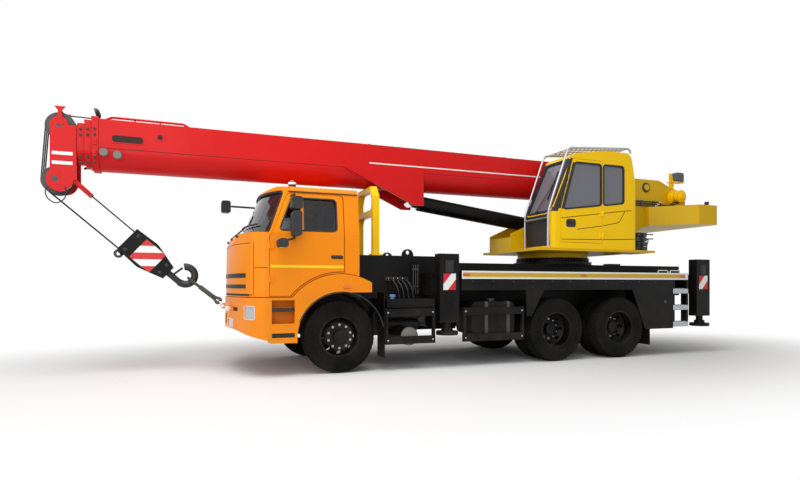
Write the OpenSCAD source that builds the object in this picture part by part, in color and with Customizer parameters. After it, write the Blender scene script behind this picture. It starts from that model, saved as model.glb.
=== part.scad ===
// Truck-mounted telescopic crane on a three-axle cab-over chassis.
// Frame: +X forward, +Y to the left, +Z up, ground at z = 0.
// Lengths along the vehicle are taken from the front axle, and frame_shift
// moves the finished nodes so that the origin lies under the middle of the whole crane.

/* [Running gear] */
// Front axle to first rear axle
wheelbase = 3690; // [3600:10:3900]
// First rear axle to second rear axle
bogie_spread = 1320; // [1280:10:1400]
// Outer radius of a tyre
tyre_r = 525; // [515:1:530]
// Section width of a tyre
tyre_w = 280; // [260:1:290]
// Bead seat radius of a rim
rim_seat_r = 286; // [270:1:290]
// Distance between the front wheel centre planes
front_track = 2042; // [2020:1:2060]
// Distance between the middles of the rear twin wheels
rear_track = 1890; // [1870:1:1900]

/* [Truck frame] */
// Outside width over the two frame rails
frame_w = 870; // [820:5:900]
// Height of a frame rail
rail_h = 250; // [220:5:280]
// Height of the rails' upper flange above the ground
rail_top_z = 1060; // [1050:1:1070]

/* [Driver cab] */
// Half of the cab width at the belt line
cab_half_w = 1215; // [1180:1:1230]
// Rear wall of the cab
cab_rear_x = -270; // [-300:1:-240]
// Foremost point of the cab's front panel
cab_nose_x = 1455; // [1440:1:1470]
// Belt line height
belt_z = 1985; // [1950:1:2000]
// Roof height above the ground
roof_z = 2720; // [2690:1:2760]
// Thickness of a cab wall or door
cab_wall = 60; // [45:1:70]

/* [Crane base and outriggers] */
// Half width of the box girder under the slewing ring
girder_half_w = 500; // [480:1:520]
// Upper face of the box girder
girder_top_z = 1640; // [1620:1:1650]
// Centre of the front outrigger box
front_jack_x = -1700; // [-1720:1:-1690]
// Centre of the rear outrigger box
rear_jack_x = -6985; // [-7010:1:-6960]
// Width of one outrigger beam
beam_w = 170; // [150:1:175]
// Height of one outrigger beam
beam_h = 300; // [260:1:320]
// Half width of the deck over its side skirts
deck_half_w = 1245; // [1242:1:1250]

/* [Slewing superstructure] */
// Slewing axis behind the front axle
slew_x = -4500; // [-4550:1:-4450]
// Pitch radius of the slewing ring
slew_ring_r = 650; // [620:1:660]
// Boom foot pin, along the vehicle
boom_pin_x = -6460; // [-6480:1:-6440]
// Boom foot pin, height
boom_pin_z = 3200; // [3180:1:3220]
// Outside half width of the counterweight
counterweight_half_w = 1100; // [1000:1:1150]

/* [Boom] */
// Half width of the base section
boom_half_w = 280; // [275:1:285]
// Upper face of the base section
boom_top_z = 3550; // [3540:1:3560]
// Lowest line of the base section
boom_bottom_z = 2870; // [2865:1:2875]
// Plate thickness of the boom sections
boom_wall = 14; // [10:1:16]
// Step in half width and height from one section to the next
boom_step = 46; // [44:1:50]
// Front end of the base section
boom_front_x = 3180; // [3150:1:3200]

/* [Hook] */
// Angle of the taut hoist falls from the plumb line
fall_angle = 48.3; // [40:0.1:55]
// Distance from the head sheave axis to the top of the hook block
fall_len = 1170; // [1100:1:1300]
// Length of the hook block
hook_block_len = 720; // [650:1:760]

/* [Hidden] */
$fn = 48;
corner_steps = 6;
over = 2;
fit_gap = 0.3;
run_gap = 6;

black_paint = "#1b1b1d";
cab_orange = "#f28c0f";
crane_yellow = "#f2c200";
boom_red = "#d81e1e";
glass_tint = "#4a5560";

// Shared helpers

function unit(v) = v / norm(v);

// Points of the arc that rounds the corner p1 between p0 and p2.
function fillet(p0, p1, p2, r, n) =
  r <= 0 ? [p1] :
  let (
    a = unit(p0 - p1), b = unit(p2 - p1), half = acos(a * b) / 2,
    c = p1 + unit(a + b) * r / sin(half),
    s = p1 + a * r / tan(half), e = p1 + b * r / tan(half),
    t0 = atan2(s.y - c.y, s.x - c.x), t1 = atan2(e.y - c.y, e.x - c.x),
    d = t1 - t0, turn = d > 180 ? d - 360 : d < -180 ? d + 360 : d
  )
  [for (i = [0:n]) c + r * [cos(t0 + turn * i / n), sin(t0 + turn * i / n)]];

// Outline through corners given as [x, y, radius].
function rounded(corners, n = corner_steps) =
  let (last = len(corners))
  [for (i = [0:last - 1])
    let (a = corners[(i + last - 1) % last], p = corners[i], b = corners[(i + 1) % last])
    each fillet([a.x, a.y], [p.x, p.y], [b.x, b.y], p[2], n)];

// Rectangle with equally rounded corners.
function box_outline(x0, x1, y0, y1, r) = rounded([[x0, y0, r], [x1, y0, r], [x1, y1, r], [x0, y1, r]]);

// Outline in x and z carried across the vehicle from y0 to y1.
module across(points, y0, y1) {
  translate([0, y1, 0]) rotate([90, 0, 0]) linear_extrude(height = y1 - y0) polygon(points);
}

// Outline in y and z carried along the vehicle from x0 to x1.
module along(points, x0, x1) {
  translate([x0, 0, 0]) rotate([90, 0, 90]) linear_extrude(height = x1 - x0) polygon(points);
}

// Outline in x and y raised from z0 to z1.
module raised(points, z0, z1) {
  translate([0, 0, z0]) linear_extrude(height = z1 - z0) polygon(points);
}

module block(x0, x1, y0, y1, z0, z1) {
  translate([x0, y0, z0]) cube([x1 - x0, y1 - y0, z1 - z0]);
}

module both_sides() {
  children();
  mirror([0, 1, 0]) children();
}

// Round bar from p to q.
module bar(p, q, r) {
  v = q - p;
  translate(p) rotate([0, acos(v.z / norm(v)), atan2(v.y, v.x)]) cylinder(r = r, h = norm(v));
}

// Normal of a bent line at point i, long enough to keep both legs' edges parallel.
function mitre(points, i) =
  let (
    last = len(points) - 1,
    d0 = i > 0 ? unit(points[i] - points[i - 1]) : unit(points[1] - points[0]),
    d1 = i < last ? unit(points[i + 1] - points[i]) : d0,
    n0 = [-d0.y, d0.x], m = unit(n0 + [-d1.y, d1.x])
  )
  m / (m * n0);

// Outline of a bent bar of half thickness r.
function bent_outline(points, r) = concat(
  [for (i = [0:len(points) - 1]) points[i] + r * mitre(points, i)],
  [for (i = [len(points) - 1:-1:0]) points[i] - r * mitre(points, i)]);

module rod_across(x, z, r, y0, y1) {
  translate([x, y1, z]) rotate([90, 0, 0]) cylinder(r = r, h = y1 - y0);
}

// Wheels and tyres

wheel_z = tyre_r;
twin_gap = 36;
twin_offset = (tyre_w + twin_gap) / 2;
front_wheel_y = front_track / 2;
rear_wheel_y = rear_track / 2;
mid_axle_x = -wheelbase;
rear_axle_x = -wheelbase - bogie_spread;
rim_w = 230;
rim_lip = 12;
rim_lip_w = 9;
rim_plate = 14;
hub_r = 150;
hub_cap_r = 95;
disc_r = 200;
disc_t = 40;
front_disc_y = 70;
front_hub_out = 150;
front_hub_in = 45;
rear_hub_in = 160;
rear_hub_out = 60;
rear_cap_out = 115;
drum_r = 205;
drum_w = 160;
spindle_r = 50;
axle_tube_r = 75;
spindle_tip = 60;
axle_tip = 20;
hand_hole_r = 32;
hand_hole_n = 8;
hand_hole_pitch_r = 235;
tyre_crown_power = 0.55;
tyre_side_power = 0.6;
tyre_step = 15;

function signed_power(v, p) = sign(v) * pow(abs(v), p);

// Rounded-box section of a tyre, in radius and half width.
tyre_section = [for (t = [0:tyre_step:360 - tyre_step])
  [(tyre_r + rim_seat_r) / 2 + (tyre_r - rim_seat_r) / 2 * signed_power(cos(t), tyre_crown_power),
   tyre_w / 2 * signed_power(sin(t), tyre_side_power)]];

module tyre_ring(y) {
  color(black_paint) translate([0, y, 0]) rotate([-90, 0, 0]) rotate_extrude($fn = 96) polygon(tyre_section);
}

function barrel_section(y) =
  let (lip = rim_seat_r + rim_lip, seat = rim_seat_r - fit_gap, h = rim_w / 2, b = h - rim_lip_w)
  [[lip, y - h], [lip, y - b], [seat, y - b], [seat, y + b], [lip, y + b], [lip, y + h],
   [seat - rim_plate, y + h], [seat - rim_plate, y - h]];

// Dished disc from the barrel at y0 to the flange face at y1, both in wheel depth.
function dish_section(y0, y1) =
  let (seat = rim_seat_r - rim_plate)
  [[seat, y0 - disc_t / 2], [seat, y0 + disc_t / 2], [disc_r, y1 + disc_t / 2], [0, y1 + disc_t / 2],
   [0, y1 - disc_t / 2], [disc_r, y1 - disc_t / 2]];

module hand_holes(y) {
  for (i = [0:hand_hole_n - 1])
    rotate([0, 360 / hand_hole_n * i, 0])
      translate([hand_hole_pitch_r, y, 0]) rotate([-90, 0, 0])
        cylinder(r = hand_hole_r, h = 4 * disc_t, center = true);
}

// Steered wheel: the disc bulges outwards over the hub.
module front_rim() {
  color(black_paint) difference() {
    rotate([-90, 0, 0]) rotate_extrude($fn = 96) union() {
      polygon(barrel_section(0));
      polygon(dish_section(0, front_disc_y));
      translate([0, -front_hub_in]) square([hub_r, front_hub_in + front_disc_y]);
      translate([0, front_disc_y]) square([hub_cap_r, front_hub_out - front_disc_y]);
    }
    hand_holes(front_disc_y / 2);
    translate([0, -front_hub_in - over, 0]) rotate([-90, 0, 0])
      cylinder(r = spindle_r + fit_gap, h = front_hub_in + over + spindle_tip + fit_gap);
  }
}

// Twin wheel: two barrels on one hub with the discs dished towards each other.
module twin_rims() {
  color(black_paint) difference() {
    rotate([-90, 0, 0]) rotate_extrude($fn = 96) union() {
      polygon(barrel_section(twin_offset));
      polygon(barrel_section(-twin_offset));
      polygon(dish_section(twin_offset - rim_w / 2 + disc_t, disc_t / 2));
      polygon(dish_section(-twin_offset + rim_w / 2 - disc_t, -disc_t / 2));
      translate([0, -rear_hub_in]) square([hub_r, rear_hub_in + rear_hub_out]);
      translate([0, rear_hub_out]) square([hub_cap_r, rear_cap_out - rear_hub_out]);
      translate([hub_r - over, -rear_hub_in]) square([drum_r - hub_r + over, drum_w]);
    }
    hand_holes(0);
    translate([0, -rear_hub_in - over, 0]) rotate([-90, 0, 0])
      cylinder(r = axle_tube_r + fit_gap, h = rear_hub_in + over + axle_tip + fit_gap);
  }
}

// Places a left-hand wheel at axle x and track y, or its mirror image on the right.
module wheel_at(x, y, side) {
  translate([x, 0, wheel_z]) if (side > 0) translate([0, y, 0]) children();
  else mirror([0, 1, 0]) translate([0, y, 0]) children();
}

module twin_tyres() {
  tyre_ring(twin_offset);
  tyre_ring(-twin_offset);
}

// Axles, knuckles and springs

kingpin_y = 855;
kingpin_r = 28;
eye_r = 62;
eye_h = 150;
lug_t = 45;
knuckle_gap = 9;
front_beam_h = 110;
front_beam_w = 100;
front_beam_drop = 120;
front_beam_flat_y = 560;
steer_arm_len = 210;
steer_arm_w = 50;
steer_arm_t = 30;
banjo_r = 235;
banjo_w = 260;
spring_y = 440;
spring_w = 90;
leaf_t = 16;
leaf_end = 5;
leaf_n = 5;
front_spring_r = 2200;
front_spring_half = 720;
rear_spring_half = bogie_spread / 2 + leaf_end;
hanger_w = 80;
trunnion_w = 240;
leaf_step_share = 0.12;
trunnion_x = -wheelbase - bogie_spread / 2;

module front_beam() {
  low = wheel_z - front_beam_drop;
  h = front_beam_h / 2;
  along_y = rounded([
    [-kingpin_y, wheel_z - h, 0], [-front_beam_flat_y, low - h, front_beam_h],
    [front_beam_flat_y, low - h, front_beam_h], [kingpin_y, wheel_z - h, 0],
    [kingpin_y, wheel_z + h, 0], [front_beam_flat_y, low + h, front_beam_h],
    [-front_beam_flat_y, low + h, front_beam_h], [-kingpin_y, wheel_z + h, 0]]);
  difference() {
    union() {
      along(along_y, -front_beam_w / 2, front_beam_w / 2);
      both_sides() translate([0, kingpin_y, wheel_z - eye_h / 2]) cylinder(r = eye_r, h = eye_h);
    }
    both_sides() translate([0, kingpin_y, wheel_z - eye_h]) cylinder(r = kingpin_r + fit_gap, h = 2 * eye_h);
  }
}

module drive_axle(x) {
  rod_across(x, wheel_z, axle_tube_r, -rear_wheel_y - axle_tip, rear_wheel_y + axle_tip);
  translate([x - banjo_w / 2, 0, wheel_z]) rotate([0, 90, 0]) cylinder(r = banjo_r, h = banjo_w);
}

module axles_and_springs() {
  color("#26262a") {
    leaf_springs();
    front_beam();
    drive_axle(mid_axle_x);
    drive_axle(rear_axle_x);
  }
}

// Fork round the beam eye, with the spindle that carries the wheel and an arm for the track rod.
module knuckle() {
  low = wheel_z - eye_h / 2 - knuckle_gap - lug_t;
  high = wheel_z + eye_h / 2 + knuckle_gap;
  web_y = eye_r + knuckle_gap;
  color("#303034") translate([0, kingpin_y, 0]) {
    translate([0, 0, low]) cylinder(r = kingpin_r, h = high - low + lug_t);
    translate([0, 0, low]) cylinder(r = eye_r, h = lug_t);
    translate([0, 0, high]) cylinder(r = eye_r, h = lug_t);
    block(-eye_r, eye_r, 0, web_y + lug_t, low, low + lug_t);
    block(-eye_r, eye_r, 0, web_y + lug_t, high, high + lug_t);
    block(-eye_r, eye_r, web_y, web_y + lug_t, low, high + lug_t);
    rod_across(0, wheel_z, spindle_r, web_y, front_wheel_y + spindle_tip - kingpin_y);
    block(-eye_r - steer_arm_len, 0, -steer_arm_w / 2, steer_arm_w / 2, low, low + steer_arm_t);
  }
}

// Stepped outline of a leaf stack, each leaf shorter than the one above it, about the leaves' common centre.
function leaf_radius(i) = front_spring_r + leaf_t * i;
function leaf_sweep(half, i) = asin(half * (1 - leaf_step_share * i) / leaf_radius(i));
function arc_point(r, a) = r * [sin(a), -cos(a)];
function leaf_stack(half) = concat(
  [for (s = [-1:0.125:1]) arc_point(leaf_radius(0), leaf_sweep(half, 0) * s)],
  [for (i = [0:leaf_n - 2], r = [leaf_radius(i + 1)], a = [leaf_sweep(half, i), leaf_sweep(half, i + 1)]) arc_point(r, a)],
  [for (s = [1:-0.125:-1]) arc_point(leaf_radius(leaf_n), leaf_sweep(half, leaf_n - 1) * s)],
  [for (i = [leaf_n - 2:-1:0], r = [leaf_radius(i + 1)], a = [leaf_sweep(half, i + 1), leaf_sweep(half, i)])
    arc_point(r, -a)]);

// Leaf stack on the left side, lowest at z = 0 in the middle, with its ends up.
module spring_pack(half) {
  translate([0, spring_y + spring_w / 2, leaf_radius(leaf_n)]) rotate([90, 0, 0])
    linear_extrude(height = spring_w) polygon(leaf_stack(half));
}

// Rise of the main leaf's upper face at distance x from the middle.
function leaf_rise(x) = leaf_t * leaf_n + front_spring_r - sqrt(pow(front_spring_r, 2) - pow(x, 2));

module leaf_springs() {
  rail_low = rail_top_z - rail_h - fit_gap;
  y0 = spring_y - spring_w / 2;
  y1 = spring_y + spring_w / 2;
  seat = wheel_z - front_beam_drop + front_beam_h / 2 + fit_gap;
  top = wheel_z + axle_tube_r + fit_gap + leaf_rise(bogie_spread / 2);
  both_sides() {
    translate([0, 0, seat]) spring_pack(front_spring_half);
    for (s = [-1, 1])
      block(s * front_spring_half - hanger_w / 2, s * front_spring_half + hanger_w / 2, y0, y1,
        seat + leaf_rise(front_spring_half) - leaf_t * leaf_n, rail_low);
    translate([trunnion_x, 0, top]) mirror([0, 0, 1]) spring_pack(rear_spring_half);
    block(trunnion_x - trunnion_w / 2, trunnion_x + trunnion_w / 2, y0, y1, top - over, rail_low);
  }
}

// Truck frame and engine

rail_web = 9;
rail_flange_w = 80;
rail_front_x = 1180;
rail_rear_x = -7150;
crossmember_w = 120;
crossmember_h = 160;
crossmember_t = 10;
cab_bracket_x0 = 1000;
cab_bracket_x1 = 1150;
bumper_bracket_z0 = 850;
bumper_bracket_z1 = 950;
mount_x0 = 300;
mount_x1 = 400;
mount_z0 = 900;
mount_z1 = 960;
frame_member_xs = [1050, -1250, -2600, -6300];
crossmember_xs = concat(frame_member_xs, [mid_axle_x, trunnion_x, rear_axle_x]);
engine_front_x = 760;
engine_rear_x = -480;
engine_half_w = 340;
engine_low_z = 600;
engine_top_z = 1075;
gearbox_rear_x = -1150;
gearbox_half_w = 190;
gearbox_low_z = 680;
gearbox_top_z = 960;

module rail() {
  out = frame_w / 2;
  low = rail_top_z - rail_h;
  along([[out, low], [out, rail_top_z], [out - rail_flange_w, rail_top_z],
    [out - rail_flange_w, rail_top_z - rail_web], [out - rail_web, rail_top_z - rail_web],
    [out - rail_web, low + rail_web], [out - rail_flange_w, low + rail_web], [out - rail_flange_w, low]],
    rail_rear_x, rail_front_x);
}

module chassis_frame() {
  inner = frame_w / 2 - rail_web;
  mid = rail_top_z - rail_h / 2;
  color("#1d1d20") {
    both_sides() rail();
    both_sides() {
      block(cab_bracket_x0, cab_bracket_x1, frame_w / 2 - rail_flange_w, frame_w / 2,
        rail_top_z - over, cab_floor_z - fit_gap);
      block(rail_front_x - over, bumper_bracket_x, frame_w / 2 - rail_flange_w,
        frame_w / 2, bumper_bracket_z0, bumper_bracket_z1);
    }
    for (x = crossmember_xs) {
      block(x - crossmember_w / 2, x + crossmember_w / 2, -inner, inner,
        mid + crossmember_h / 2 - crossmember_t, mid + crossmember_h / 2);
      block(x - crossmember_t / 2, x + crossmember_t / 2, -inner, inner,
        mid - crossmember_h / 2, mid + crossmember_h / 2);
    }
  }
}

module engine() {
  mount_y = frame_w / 2 - rail_web - fit_gap;
  color("#55565a") {
    block(engine_rear_x, engine_front_x, -engine_half_w, engine_half_w, engine_low_z, engine_top_z);
    block(mount_x0, mount_x1, -mount_y, mount_y, mount_z0, mount_z1);
    block(gearbox_rear_x, engine_rear_x + over, -gearbox_half_w, gearbox_half_w, gearbox_low_z, gearbox_top_z);
  }
}

// Crane base: box girder on the truck frame with outrigger boxes and the fixed slewing ring

plate = 20;
girder_front_x = -450;
girder_rear_x = -7195;
girder_flange_y = 340;
front_deck_x = -1950;
front_deck_z = 1740;
box_wall = 20;
beam_run = 6;
box_half_y = 1050;
box_w = 2 * beam_w + 3 * box_wall + 4 * beam_run;
box_low_z = 1110;
box_h = beam_h + 2 * box_wall + beam_run;
beam_offset = (beam_w + box_wall) / 2 + beam_run;
pedestal_r = 720;
pedestal_top_z = 1690;
ring_top_z = 1765;
ring_bore_r = 500;
ring_teeth = 72;
tooth_h = 22;
tooth_root_share = 0.3;
tooth_tip_share = 0.18;
lift_lug_x = -1310;
lift_lug_w = 200;
lift_lug_h = 110;
lift_lug_t = 30;
lift_lug_bore_r = 32;

// Toothed outline of the slewing ring.
ring_outline = [for (i = [0:ring_teeth - 1])
  let (p = 360 / ring_teeth)
  for (q = [[-tooth_root_share, 0], [-tooth_tip_share, tooth_h], [tooth_tip_share, tooth_h], [tooth_root_share, 0]])
    (slew_ring_r + q.y) * [cos(p * (i + q.x)), sin(p * (i + q.x))]];

module inverted_u(x0, x1, z0, z1) {
  w = girder_half_w;
  along([[-w, z0], [-w, z1], [w, z1], [w, z0], [girder_flange_y, z0], [girder_flange_y, z0 + plate],
    [w - plate, z0 + plate], [w - plate, z1 - plate], [-w + plate, z1 - plate], [-w + plate, z0 + plate],
    [-girder_flange_y, z0 + plate], [-girder_flange_y, z0]], x0, x1);
}

module outrigger_box(x) {
  block(x - box_w / 2, x + box_w / 2, -box_half_y, box_half_y, box_low_z, box_low_z + box_h);
}

// The two channels of an outrigger box, the left-hand beam in the front one.
module outrigger_channels(x) {
  for (s = [-1, 1])
    block(x + s * beam_offset - beam_w / 2 - beam_run, x + s * beam_offset + beam_w / 2 + beam_run,
      -box_half_y - over, box_half_y + over, box_low_z + box_wall, box_low_z + box_wall + beam_h + beam_run);
}

module lift_lug() {
  y = girder_half_w - lift_lug_t;
  r = lift_lug_w / 2;
  difference() {
    union() {
      block(lift_lug_x - r, lift_lug_x + r, y, y + lift_lug_t, front_deck_z - over, front_deck_z + lift_lug_h - r);
      rod_across(lift_lug_x, front_deck_z + lift_lug_h - r, r, y, y + lift_lug_t);
    }
    rod_across(lift_lug_x, front_deck_z + lift_lug_h / 2, lift_lug_bore_r, y - over, y + lift_lug_t + over);
    block(lift_lug_x - lift_lug_w, lift_lug_x + lift_lug_w, y - over, y + lift_lug_t + over,
      front_deck_z - lift_lug_w, front_deck_z - over);
  }
}

module crane_base() {
  color(black_paint) {
    difference() {
      union() {
        inverted_u(girder_rear_x, girder_front_x, rail_top_z + fit_gap, girder_top_z);
        inverted_u(front_deck_x, girder_front_x, girder_top_z - plate, front_deck_z);
        outrigger_box(front_jack_x);
        outrigger_box(rear_jack_x);
      }
      outrigger_channels(front_jack_x);
      outrigger_channels(rear_jack_x);
    }
    difference() {
      union() {
        translate([slew_x, 0, girder_top_z - over]) cylinder(r = pedestal_r, h = pedestal_top_z - girder_top_z + over);
        translate([slew_x, 0, pedestal_top_z - over]) linear_extrude(height = ring_top_z - pedestal_top_z + over)
          polygon(ring_outline);
      }
      translate([slew_x, 0, girder_top_z]) cylinder(r = ring_bore_r, h = ring_top_z - girder_top_z + over);
    }
    both_sides() lift_lug();
  }
}

// Outrigger beams and jacks

beam_wall = 14;
beam_len = 2060;
jack_box_w = 330;
jack_box_gap = 10;
jack_box_y0 = box_half_y + jack_box_gap;
jack_box_y1 = 1240;
jack_box_low_z = 690;
jack_box_top_z = 1745;
jack_rod_r = 60;
jack_bore_r = jack_rod_r + fit_gap;
jack_rod_top_z = 1600;
pad_r = 170;
pad_low_z = 500;
pad_h = 60;
pad_neck_r = 90;
pad_neck_h = 50;

// Left-hand beam at outrigger centre x, lying in the channel on side s of the box.
module outrigger_beam(x, s) {
  z0 = box_low_z + box_wall + fit_gap;
  y0 = jack_box_y0 - beam_len;
  mid = (jack_box_y0 + jack_box_y1) / 2;
  color(black_paint) difference() {
    union() {
      block(x + s * beam_offset - beam_w / 2, x + s * beam_offset + beam_w / 2, y0, jack_box_y0 + over, z0, z0 + beam_h);
      block(x - jack_box_w / 2, x + jack_box_w / 2, jack_box_y0, jack_box_y1, jack_box_low_z, jack_box_top_z);
    }
    block(x + s * beam_offset - beam_w / 2 + beam_wall, x + s * beam_offset + beam_w / 2 - beam_wall,
      y0 - over, jack_box_y0, z0 + beam_wall, z0 + beam_h - beam_wall);
    translate([x, mid, jack_box_low_z - over]) cylinder(r = jack_bore_r, h = jack_rod_top_z - jack_box_low_z + 2 * over);
  }
}

// Jack rod with its foot plate, inside the bore of the jack box.
module outrigger_jack(x) {
  mid = (jack_box_y0 + jack_box_y1) / 2;
  color("#8c8f94") translate([x, mid, pad_low_z]) {
    cylinder(r = pad_r, h = pad_h);
    cylinder(r = pad_neck_r, h = pad_h + pad_neck_h);
    cylinder(r = jack_rod_r, h = jack_rod_top_z - pad_low_z);
  }
}

module right_hand() {
  mirror([0, 1, 0]) children();
}

// Deck, side skirts, rear mudguards and ladders

deck_gap = 40;
deck_front_x = front_jack_x - jack_box_w / 2 - deck_gap;
deck_rear_set = 385;
deck_rear_x = rear_jack_x + deck_rear_set;
deck_low_z = 1465;
deck_top_z = 1485;
skirt_t = 20;
skirt_low_z = 1185;
skirt_step_z = 1385;
rear_panel_share = 0.6526;
rear_tyre_x = rear_axle_x - tyre_r;
rear_panel_x = rear_tyre_x + rear_panel_share * (deck_rear_x - rear_tyre_x);
rear_panel_low_z = 480;
strut_gap = 85;
strut_x = mid_axle_x + tyre_r + strut_gap;
strut_low_z = 760;
strut_lap = 15;
rear_panel_gap = 45;
rear_flap_gap = 135;
flap_t = 10;
flap_low_z = 200;
flap_y0 = 660;
ladder_rail = 40;
ladder_low_z = 510;
ladder_depth = 130;
tread_h = 85;
tread_zs = [510, 812, 1112];

skirt_outline = [
  [deck_front_x, deck_top_z], [deck_rear_x, deck_top_z], [deck_rear_x, skirt_step_z], [rear_panel_x, skirt_step_z],
  [rear_panel_x, rear_panel_low_z], [rear_tyre_x - rear_panel_gap, rear_panel_low_z],
  [rear_axle_x - tyre_r / 2, skirt_low_z],
  [mid_axle_x + tyre_r / 2, skirt_low_z], [mid_axle_x + tyre_r - strut_lap, strut_low_z], [strut_x, strut_low_z],
  [strut_x, skirt_low_z], [deck_front_x, skirt_low_z]];

module deck_panels() {
  y1 = deck_half_w;
  flap_x = rear_tyre_x - rear_flap_gap;
  color("#222226") both_sides() {
    across(skirt_outline, y1 - skirt_t, y1);
    block(deck_rear_x, deck_front_x, girder_half_w + fit_gap, y1, deck_low_z, deck_top_z);
    block(deck_rear_x, deck_rear_x + skirt_t, girder_half_w + fit_gap, y1, skirt_step_z, deck_top_z);
    block(flap_x - flap_t, flap_x, flap_y0, y1, flap_low_z, deck_low_z + over);
    block(deck_rear_x, deck_rear_x + ladder_rail, y1 - ladder_depth, y1, ladder_low_z, skirt_step_z + over);
    block(rear_panel_x - ladder_rail, rear_panel_x, y1 - ladder_depth, y1, ladder_low_z, skirt_step_z + over);
    for (z = tread_zs) block(deck_rear_x, rear_panel_x, y1 - ladder_depth, y1, z, z + tread_h);
  }
}

// Driver cab: shell, doors and glass cut from one inset solid

cab_floor_z = 1100;
arch_cut_r = 905;
cab_eave_z = 2640;
cab_tumble = 95;
cab_eave_half_w = cab_half_w - cab_tumble;
cab_eave_round = 90;
roof_fall_w = 715;
roof_flat_half_w = cab_half_w - roof_fall_w;
roof_round = 300;
roof_front_x = 640;
roof_front_round = 200;
visor_x = 1010;
visor_z = 2645;
cowl_x = 1440;
cowl_z = 1850;
cowl_round = 40;
nose_x = cab_nose_x + cab_wall / 3;
nose_bow = 456;
nose_round = 250;
cab_bow_r = bow_radius(nose_bow, cab_half_w - nose_round, nose_round);
bow_steps = 16;
screen_rake = 24;
screen_foot_x = 1290;
screen_reach = 2000;
screen_len = 1000;
screen_lap = 35;
screen_half_w = cab_half_w + screen_lap;
screen_steps = 16;
screen_low_z = 1990;
screen_top_z = 2590;
screen_crown_z = 2630;
screen_crown_r = 3000;
screen_low_set = 145;
screen_top_set = 240;
screen_bow = 264;
screen_low_half_w = cab_half_w - screen_low_set;
screen_top_half_w = cab_half_w - screen_top_set;
screen_bow_r = (pow(screen_low_half_w, 2) + pow(screen_bow, 2)) / (2 * screen_bow);
window_round = 60;
screen_cut_x = 700;
back_window_set = 615;
back_window_half_w = cab_half_w - back_window_set;
back_window_low_z = 2060;
back_window_top_z = 2460;
glass_set = 24;
glass_t = 8;
door_rear_x = -40;
door_front_x = 1000;
door_low_z = 1112;
door_top_z = 2545;
door_belt_x = 945;
door_belt_z = 2005;
door_top_front_x = 740;
door_reach = 215;
door_inner_y = cab_half_w - door_reach;
door_arch_gap = 26;
door_corner = 60;
hinge_r = 14;
hinge_h = 90;
hinge_leaf = 60;
door_hinge_zs = [1300, 1760];
pane_rear_x = 60;
pane_low_front_x = 870;
pane_top_front_x = 690;
pane_low_z = 2020;
pane_top_z = 2480;

function cab_side(i) = rounded([
  [cab_rear_x + i, cab_floor_z + i, 0], [nose_x - i, cab_floor_z + i, 0],
  [cowl_x - i, cowl_z - i, cowl_round], [screen_foot_x + cab_wall - i, belt_z + cab_wall - i, 0],
  [visor_x + cab_wall - i, visor_z - i, 0], [roof_front_x, roof_z - i, roof_front_round],
  [cab_rear_x + i, roof_z - i, 0]]);

function cab_front(i) = rounded([
  [-cab_half_w + i, cab_floor_z, 0], [cab_half_w - i, cab_floor_z, 0], [cab_half_w - i, belt_z, 0],
  [cab_eave_half_w - i, cab_eave_z - i, cab_eave_round], [roof_flat_half_w, roof_z - i, roof_round],
  [-roof_flat_half_w, roof_z - i, roof_round], [-cab_eave_half_w + i, cab_eave_z - i, cab_eave_round],
  [-cab_half_w + i, belt_z, 0]]);

// Radius of the arc that stands depth ahead of its corners' centres, which lie yc off the middle.
function bow_radius(depth, yc, r) = (depth * depth + yc * yc - r * r) / (2 * (depth - r));

// Plan of a bowed front between straight sides: a wide arc of radius bow_r through the nose, run into the
// sides by corners of radius corner_r, with every edge moved inwards by i.
function bowed_plan(rear, nose, half, bow_r, corner_r, i) =
  let (
    cx = nose - bow_r, yc = half - corner_r, xc = cx + sqrt(pow(bow_r - corner_r, 2) - pow(yc, 2)),
    t = atan2(yc, xc - cx), corner = corner_r - i, bow = bow_r - i
  )
  concat(
    [[rear, i - half]],
    [for (k = [0:corner_steps], a = [(90 - t) * k / corner_steps - 90]) [xc + corner * cos(a), corner * sin(a) - yc]],
    [for (k = [1:bow_steps - 1], a = [2 * t * k / bow_steps - t]) [cx + bow * cos(a), bow * sin(a)]],
    [for (k = [0:corner_steps], a = [t + (90 - t) * k / corner_steps]) [xc + corner * cos(a), corner * sin(a) + yc]],
    [[rear, half - i]]);

function cab_plan(i) = bowed_plan(cab_rear_x + i, nose_x, cab_half_w, cab_bow_r, nose_round, i);

function screen_plan(i) = concat(
  [[-screen_reach, -screen_half_w]],
  [for (k = [0:screen_steps])
    let (y = -screen_half_w + 2 * screen_half_w * k / screen_steps)
    [sqrt(pow(screen_bow_r, 2) - pow(y, 2)) - screen_bow_r - i, y]],
  [[-screen_reach, screen_half_w]]);

// Solid cab with every face moved inwards by i.
module cab_solid(i) {
  difference() {
    intersection() {
      across(cab_side(i), -cab_half_w - cab_wall, cab_half_w + cab_wall);
      along(cab_front(i), cab_rear_x - cab_wall, cab_nose_x + 2 * cab_wall);
      union() {
        raised(cab_plan(i), cab_floor_z - cab_wall, belt_z - i);
        intersection() {
          translate([screen_foot_x, 0, belt_z]) rotate([0, -screen_rake, 0])
            translate([0, 0, -screen_len / 2]) linear_extrude(height = 2 * screen_len) polygon(screen_plan(i));
          block(cab_rear_x - cab_wall, cab_nose_x, -screen_half_w, screen_half_w, belt_z - i - over, roof_z + cab_wall);
          raised(cab_plan(i), cab_floor_z, roof_z + cab_wall);
        }
      }
    }
    rod_across(0, wheel_z, arch_cut_r + i, -cab_half_w - 2 * cab_wall, cab_half_w + 2 * cab_wall);
  }
}

function door_outline(g) = rounded([
  [door_rear_x - 2 * g, door_low_z - g, 0], [door_front_x + g, door_low_z - g, 0],
  [door_front_x + g, belt_z - door_corner, 0], [door_belt_x + g, door_belt_z, 0],
  [door_top_front_x + g, door_top_z + g, door_corner], [door_rear_x - 2 * g, door_top_z + g, door_corner]]);

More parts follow.
